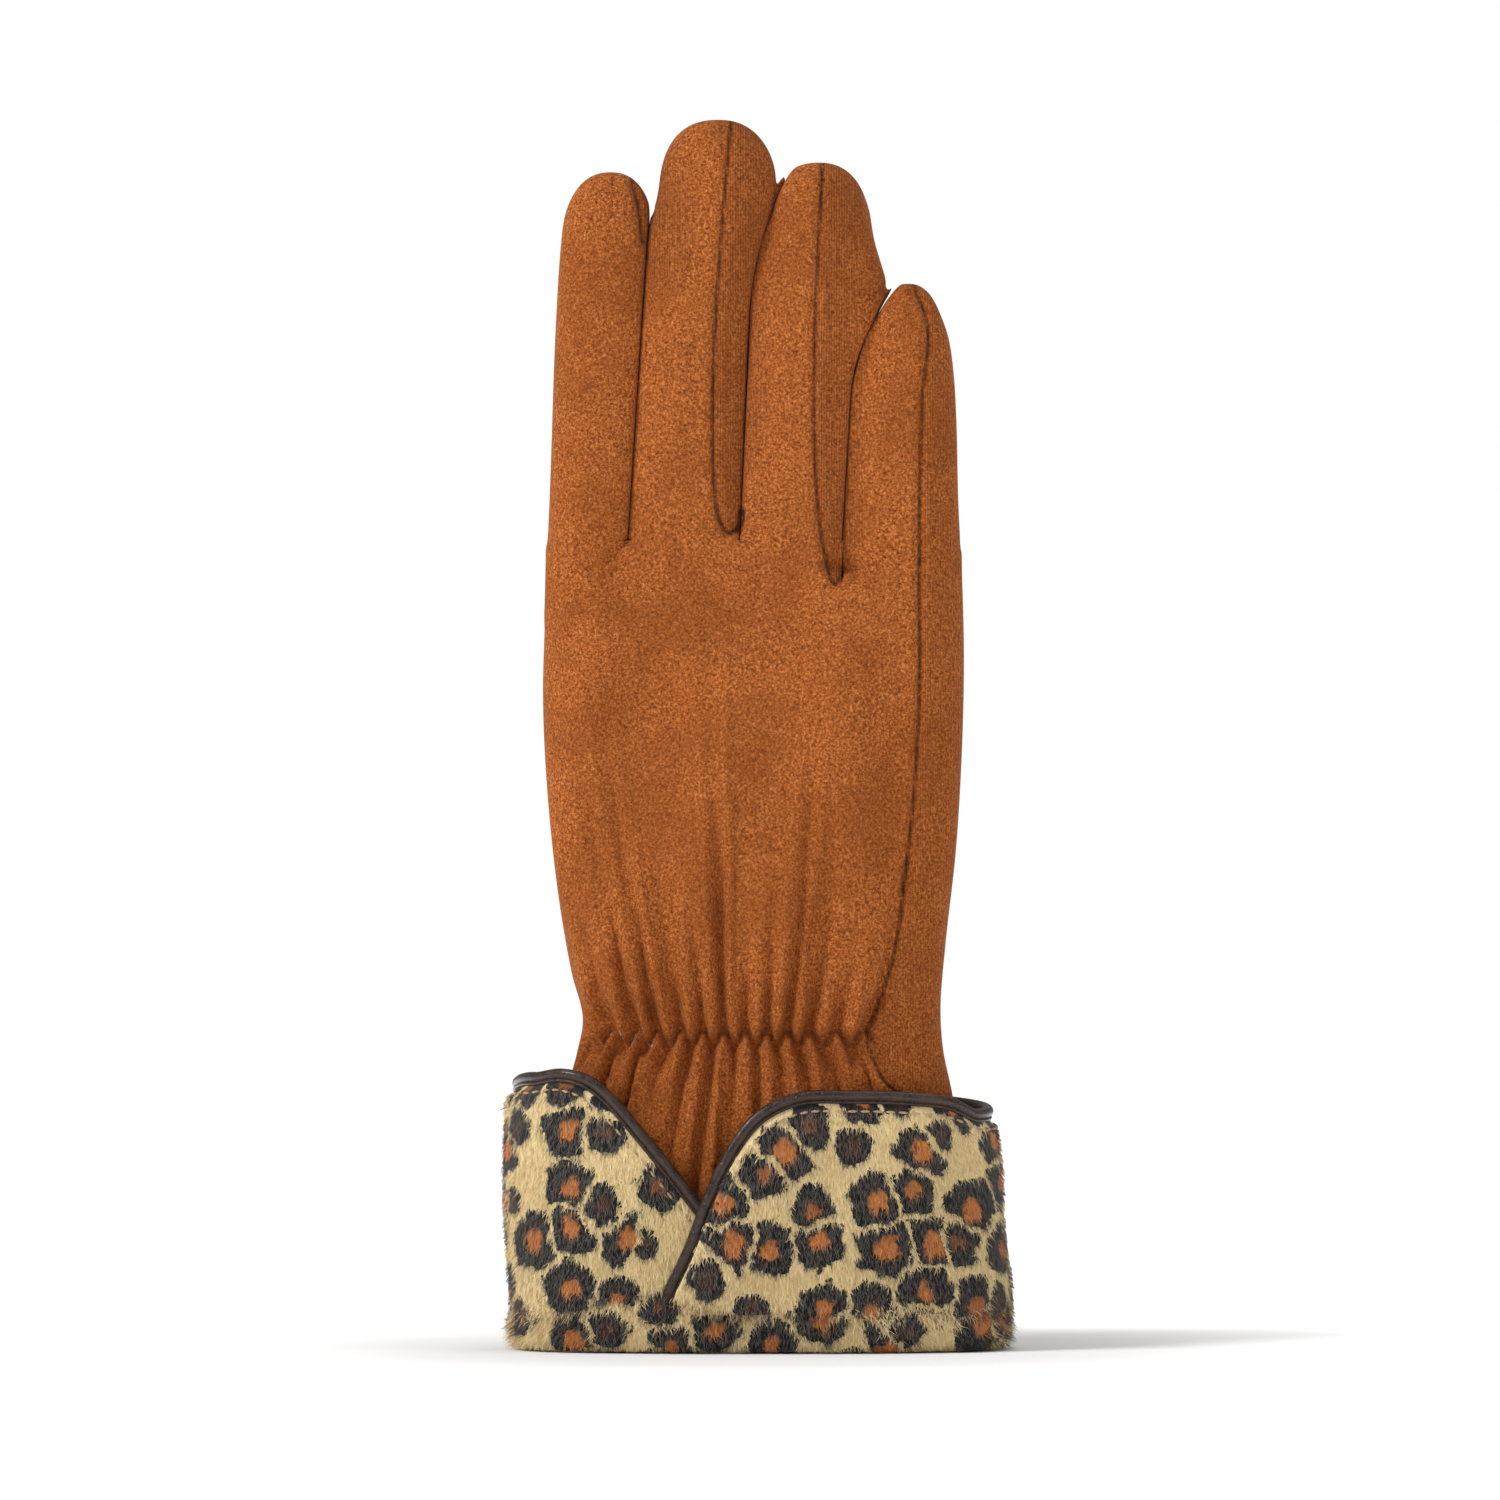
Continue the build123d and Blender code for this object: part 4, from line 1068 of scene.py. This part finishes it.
def flap_out(side, run, z, top, low):
    """How far the flap's face stands out: rounded at its free edge and at its lower roll, soft between
    them."""
    below_edge = top - z
    rounded = -1.5 * (1 - smooth(below_edge / 3.2)) - 2.4 * (1 - smooth((z - low) / 3.6)) ** 1.5
    puff = 0.35 * np.sin(run / 9.0 + z / 13.0) + 0.3 * np.sin(run / 4.3 - z / 7.0)
    near_vent = np.exp(-((run - run_of_x(-10.0)) / 16) ** 2)
    return rounded + puff + (1.7 if side > 0 else -1.2) * near_vent


def flap_facts(side):
    run, top = edge_run(RIGHT_EDGE if side > 0 else LEFT_EDGE, side)
    order = np.argsort(run)
    return run[order], top[order]


def sheet_shell(points, prints, rows, columns, thickness):
    """A closed thin shell over a grid of points, with the print's place on each, as (points, faces,
    prints)."""
    outer, inward = points
    inner = outer - inward * thickness
    n = rows * columns
    faces = []
    for r in range(rows - 1):
        for c in range(columns - 1):
            a, b = r * columns + c, r * columns + c + 1
            faces.append((a, b, b + columns, a + columns))
            faces.append((n + a, n + a + columns, n + b + columns, n + b))
    for c in range(columns - 1):
        a, b = c, c + 1
        faces.append((a, n + a, n + b, b))
        a, b = a + (rows - 1) * columns, b + (rows - 1) * columns
        faces.append((a, b, n + b, n + a))
    for r in range(rows - 1):
        a, b = r * columns, (r + 1) * columns
        faces.append((a, b, n + b, n + a))
        a, b = a + columns - 1, b + columns - 1
        faces.append((a, n + a, n + b, b))
    return np.concatenate([outer, inner]), faces, np.concatenate([prints, prints])


def flap_shell(side):
    """A flap of the cuff: columns stand between the lower roll and the free edge."""
    run, top = flap_facts(side)
    columns, rows = 300, 46
    steps = np.concatenate(([0], np.cumsum(np.hypot(np.diff(run), np.diff(top)))))
    at = np.linspace(0, steps[-1], columns)
    run_c, top_c = np.interp(at, steps, run), np.interp(at, steps, top)
    low_c = np.minimum(fold_z(run_c), top_c - 0.8)
    share = np.linspace(0, 1, rows)[:, None]
    z = low_c + (top_c - low_c) * share
    r = np.broadcast_to(run_c, z.shape)
    out = flap_out(side, r, z, top_c, low_c)
    points, normals = cuff_point(r.ravel(), z.ravel(), out.ravel())
    prints = np.stack([r.ravel(), z.ravel(), np.zeros(r.size)], 1)
    return sheet_shell((points, normals), prints, rows, columns, 2.4)


def flap_piece(side, name, node):
    points, faces, prints = flap_shell(side)
    mesh = new_mesh(name, points, faces)
    attribute(mesh, "print", prints)
    piece = place_piece(mesh, name, FUR)
    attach(piece, "root")
    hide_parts(node)
    return piece


# Height and outwards of the fold, from inside the wrist round the bottom and up outside.
FOLD_PROFILE = path(((14, -8.6), (8, -7.6), (2.5, -6.4), (0.2, -4.0), (0.0, -1.8), (1.6, -0.2), (4.5, 0.2),
                     (8, -0.5),
                     (11, -1.9), (14, -2.6)), 4)


def band_piece():
    """The fold itself: the fur turned up round the bottom, outside and into the wrist."""
    rows, columns = len(FOLD_PROFILE), 300
    run = np.linspace(-HALF_RUN, HALF_RUN, columns)
    r = np.broadcast_to(run, (rows, columns))
    sway = 0.5 * np.sin(run / 5.1) + 0.35 * np.sin(run / 2.7 + 1)
    z = FOLD_PROFILE[:, :1] + 0.25 * sway * (FOLD_PROFILE[:, 1:] > -3)
    out = FOLD_PROFILE[:, 1:] + 0.3 * sway
    z, out = np.broadcast_to(z, r.shape), np.broadcast_to(out, r.shape)
    points = cuff_point(r.ravel(), z.ravel(), out.ravel())[0]
    spread = np.concatenate(([0], np.cumsum(np.hypot(*np.diff(FOLD_PROFILE, axis=0).T))))
    prints = np.stack([r.ravel(), np.repeat(spread - 30, columns), np.full(r.size, 0.0)], 1)
    mesh = new_mesh("cuff_fold", points, grid_faces(rows, columns, turned=True))
    attribute(mesh, "print", prints)
    bm = bmesh.new()
    bm.from_mesh(mesh)
    bmesh.ops.remove_doubles(bm, verts=bm.verts, dist=1e-6)
    bmesh.ops.recalc_face_normals(bm, faces=bm.faces)
    bm.to_mesh(mesh)
    bm.free()
    piece = place_piece(mesh, "cuff_fold", FUR)
    thick = piece.modifiers.new("thickness", "SOLIDIFY")
    thick.thickness, thick.offset = 1.2 * MM, -1
    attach(piece, "root")
    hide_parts("cuff_band", "cuff_facing")
    return piece


FLOOR_Z = -0.3  # millimetres


def strands(name, roots, normals, prints, lay, length, width=0.17):
    """Short pile: one bent tapering blade for each root, all in one mesh."""
    n = len(roots)
    lay = lay / np.linalg.norm(lay, axis=1)[:, None]
    side = np.cross(lay, normals) + rng.normal(0, 0.35, (n, 3))
    side /= np.linalg.norm(side, axis=1)[:, None]
    length = np.broadcast_to(length, n)[:, None]
    half = (width / 2) * rng.uniform(0.7, 1.3, (n, 1))
    middle = roots + (lay * 0.75 + normals * 0.55) * length * 0.5
    tip = middle + (lay * 1.0 + normals * 0.12) * length * 0.55 + rng.normal(0, 0.12, (n, 3))
    points = np.stack([roots - side * half, roots + side * half, middle + side * half * 0.8,
                       middle - side * half * 0.8, tip], 1).reshape(-1, 3)
    points[:, 2] = np.maximum(points[:, 2], FLOOR_Z + 0.3)
    base = np.arange(n)[:, None] * 5
    quads = (base + np.array([[0, 1, 2, 3]])).tolist()
    tips = (base + np.array([[3, 2, 4]])).tolist()
    mesh = new_mesh(name, points, quads + tips)
    attribute(mesh, "print", np.repeat(prints + rng.normal(0, 0.16, (n, 3)) * (1, 1, 0), 5, 0))
    attribute(mesh, "tip", np.tile([0, 0, 0.5, 0.5, 1.0], n))
    piece = place_piece(mesh, name, STRANDS)
    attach(piece, "root")
    return piece


def flap_pile(side, name, count):
    run, top = flap_facts(side)
    r = rng.uniform(run.min(), run.max(), count * 3)
    t = np.interp(r, run, top) - 1.6
    low = fold_z(r) + 0.2
    z = rng.uniform(0, 56, count * 3)
    ok = (z < t) & (z > low)
    r, z, t, low = r[ok][:count], z[ok][:count], t[ok][:count], low[ok][:count]
    out = flap_out(side, r, z, t + 1.6, low)
    roots, normals = cuff_point(r, z, out)
    down = np.stack([0.15 * rng.normal(size=len(r)), 0.15 * rng.normal(size=len(r)), -np.ones(len(r))], 1)
    down += rng.normal(0, 0.28, down.shape)
    fringe = 1 - smooth((z - low) / 4)
    down += normals * 0.5 * fringe[:, None]
    length = rng.uniform(1.2, 2.0, len(r)) + 1.3 * fringe * rng.uniform(0, 1, len(r))
    prints = np.stack([r, z, np.zeros(len(r))], 1)
    return strands(name, roots, normals, prints, down, length)


def fold_pile(name, count):
    """Longer, looser pile on the fold at the bottom, hanging over its lower edge."""
    r = rng.uniform(-HALF_RUN, HALF_RUN, count)
    share = rng.uniform(0, 1, count)
    spread = np.concatenate(([0], np.cumsum(np.hypot(*np.diff(FOLD_PROFILE, axis=0).T))))
    at = spread[-1] * (0.52 + 0.42 * share)
    z = np.interp(at, spread, FOLD_PROFILE[:, 0])
    out = np.interp(at, spread, FOLD_PROFILE[:, 1])
    roots, normals = cuff_point(r, z, out)
    low = smooth((2.5 - z) / 2.5)[:, None]
    normals = normals * (1 - 0.75 * low) + np.array([0, 0, -1.0]) * 0.75 * low
    down = np.stack([0.2 * rng.normal(size=count), 0.2 * rng.normal(size=count), -np.ones(count)], 1)
    down += normals * 0.6 + rng.normal(0, 0.35, (count, 3))
    length = rng.uniform(1.2, 2.8, count)
    prints = np.stack([r, at - 30, np.zeros(count)], 1)
    return strands(name, roots, normals, prints, down, length, 0.15)


flap_piece(-1, "left_flap", "cuff_flap_left")
flap_piece(1, "right_flap", "cuff_flap_right")
band_piece()
flap_pile(-1, "left_flap_pile", 26000)
flap_pile(1, "right_flap_pile", 30000)
fold_pile("fold_pile", 16000)


# ---------------------------------------------------------------- piping and topstitching
def edge_line(side, inset, out):
    """Points along a flap's free edge, moved into the flap by inset and outwards by out."""
    run, top = edge_run(RIGHT_EDGE if side > 0 else LEFT_EDGE, side)
    steps = np.concatenate(([0], np.cumsum(np.hypot(np.diff(run), np.diff(top)))))
    at = np.linspace(0, steps[-1], int(steps[-1] / 0.9))
    run, top = np.interp(at, steps, run), np.interp(at, steps, top)
    slope = np.stack([np.gradient(run), np.gradient(top)], 1)
    slope /= np.linalg.norm(slope, axis=1)[:, None]
    run, z = run + side * slope[:, 1] * inset, top - side * slope[:, 0] * inset
    low = fold_z(run)
    stand = flap_out(side, run, np.maximum(z, low + 3.6), z + 3.2, low)
    points, normals = cuff_point(run, z, stand + out)
    return points, normals, z


def piping_piece(side, name, *nodes):
    points = edge_line(side, -0.5, -0.9)[0]
    main = tube_mesh(points, 1.12, 14)
    flange_points = edge_line(side, 0.75, -0.75)[0]
    flange = tube_mesh(flange_points, 0.42, 8)
    piece = tube_piece(name, [main, flange], LEATHER)
    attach(piece, "root")
    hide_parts(*nodes)
    return piece


def stitching_piece(side, name, node):
    points, normals, z = edge_line(side, 2.6, 0.32)
    parts = []
    step = 3
    for i in range(4, len(points) - 4, step):
        if z[i] < 10 + fold_z(0.0) * 0.3:
            continue
        a, b = points[i], points[i + 2]
        dip = -normals[i] * 0.25
        line = np.array([a + dip, a * 0.7 + b * 0.3, a * 0.3 + b * 0.7, b + dip])
        parts.append(tube_mesh(line, np.array([0.12, 0.24, 0.24, 0.12]), 8))
    piece = tube_piece(name, parts, TAN_THREAD)
    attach(piece, "root")
    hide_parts(node)
    return piece


piping_piece(-1, "left_piping", "piping_left", "piping_cord_left")
piping_piece(1, "right_piping", "piping_right", "piping_cord_right")
stitching_piece(-1, "left_topstitching", "topstitching_left")
stitching_piece(1, "right_topstitching", "topstitching_right")


# ---------------------------------------------------------------- floor, light and camera
def floor():
    """A round pale floor that turns plain white away from the glove, so that no edge of it is seen from any
    side. There it glows: painted light, which also fades the glove's shadow on the floor."""
    n = Nodes("floor")
    place = n.add("ShaderNodeTexCoord").outputs["Object"]
    away = n.add("ShaderNodeVectorMath", operation="LENGTH")
    n.link(place, away.inputs[0])
    # Painted light: the floor glows more the further it lies from the glove, which lifts the glove's shadow
    # on it.
    white = n.fit(away.outputs["Value"], 0.05, 0.24)
    n.done((0.93, 0.93, 0.93, 1), None, Roughness=0.9, Specular_IOR_Level=0.1,
           Emission_Color=(1, 1, 1, 1), Emission_Strength=white)
    radius, steps = 1.6, 96
    turns = [2 * math.pi * i / steps for i in range(steps)]
    points = [(radius * math.cos(a), radius * math.sin(a), 0) for a in turns]
    mesh = bpy.data.meshes.new("floor")
    mesh.from_pydata(points, [], [tuple(range(steps))])
    obj = bpy.data.objects.new("floor", mesh)
    obj.location = (0, 0, FLOOR_Z * MM)
    bpy.context.scene.collection.objects.link(obj)
    mesh.materials.append(n.material)


def area_light(name, place, target, size, power):
    light = bpy.data.lights.new(name, "AREA")
    light.shape = "SQUARE"
    light.size, light.energy = size, power
    obj = bpy.data.objects.new(name, light)
    obj.location = place
    obj.rotation_euler = (Vector(target) - Vector(place)).to_track_quat("-Z", "Y").to_euler()
    bpy.context.scene.collection.objects.link(obj)


def world(strength, seen):
    w = bpy.data.worlds.new("studio")
    bpy.context.scene.world = w
    w.use_nodes = True
    tree = w.node_tree
    background = tree.nodes["Background"]
    background.inputs["Color"].default_value = (1, 1, 1, 1)
    ray = tree.nodes.new("ShaderNodeLightPath")
    mix = tree.nodes.new("ShaderNodeMapRange")
    mix.inputs["To Min"].default_value = strength
    mix.inputs["To Max"].default_value = seen
    tree.links.new(ray.outputs["Is Camera Ray"], mix.inputs["Value"])
    tree.links.new(mix.outputs["Result"], background.inputs["Strength"])


def camera():
    """Straight on to the back of the hand, with a long lens, framed as the photograph is."""
    frame_width, distance, lens = 0.300, 2.5, 300.0
    data = bpy.data.cameras.new("camera")
    data.lens, data.sensor_width = lens, frame_width / distance * lens
    data.clip_start, data.clip_end = 0.1, 20
    obj = bpy.data.objects.new("camera", data)
    obj.location = (-0.001, -distance - 0.012, 0.120)
    obj.rotation_euler = (math.radians(90), 0, 0)
    bpy.context.scene.collection.objects.link(obj)
    bpy.context.scene.camera = obj


floor()
middle = (0, 0, 0.12)
area_light("key", (-1.3, -0.75, 1.5), middle, 0.6, 29)
area_light("fill", (1.3, -1.0, 0.5), middle, 1.0, 2.5)
area_light("back", (0.3, 0.2, 1.9), (0, 0.1, 0.0), 1.2, 12)
world(0.27, 1.0)
camera()
bpy.context.scene.view_settings.view_transform = "Standard"
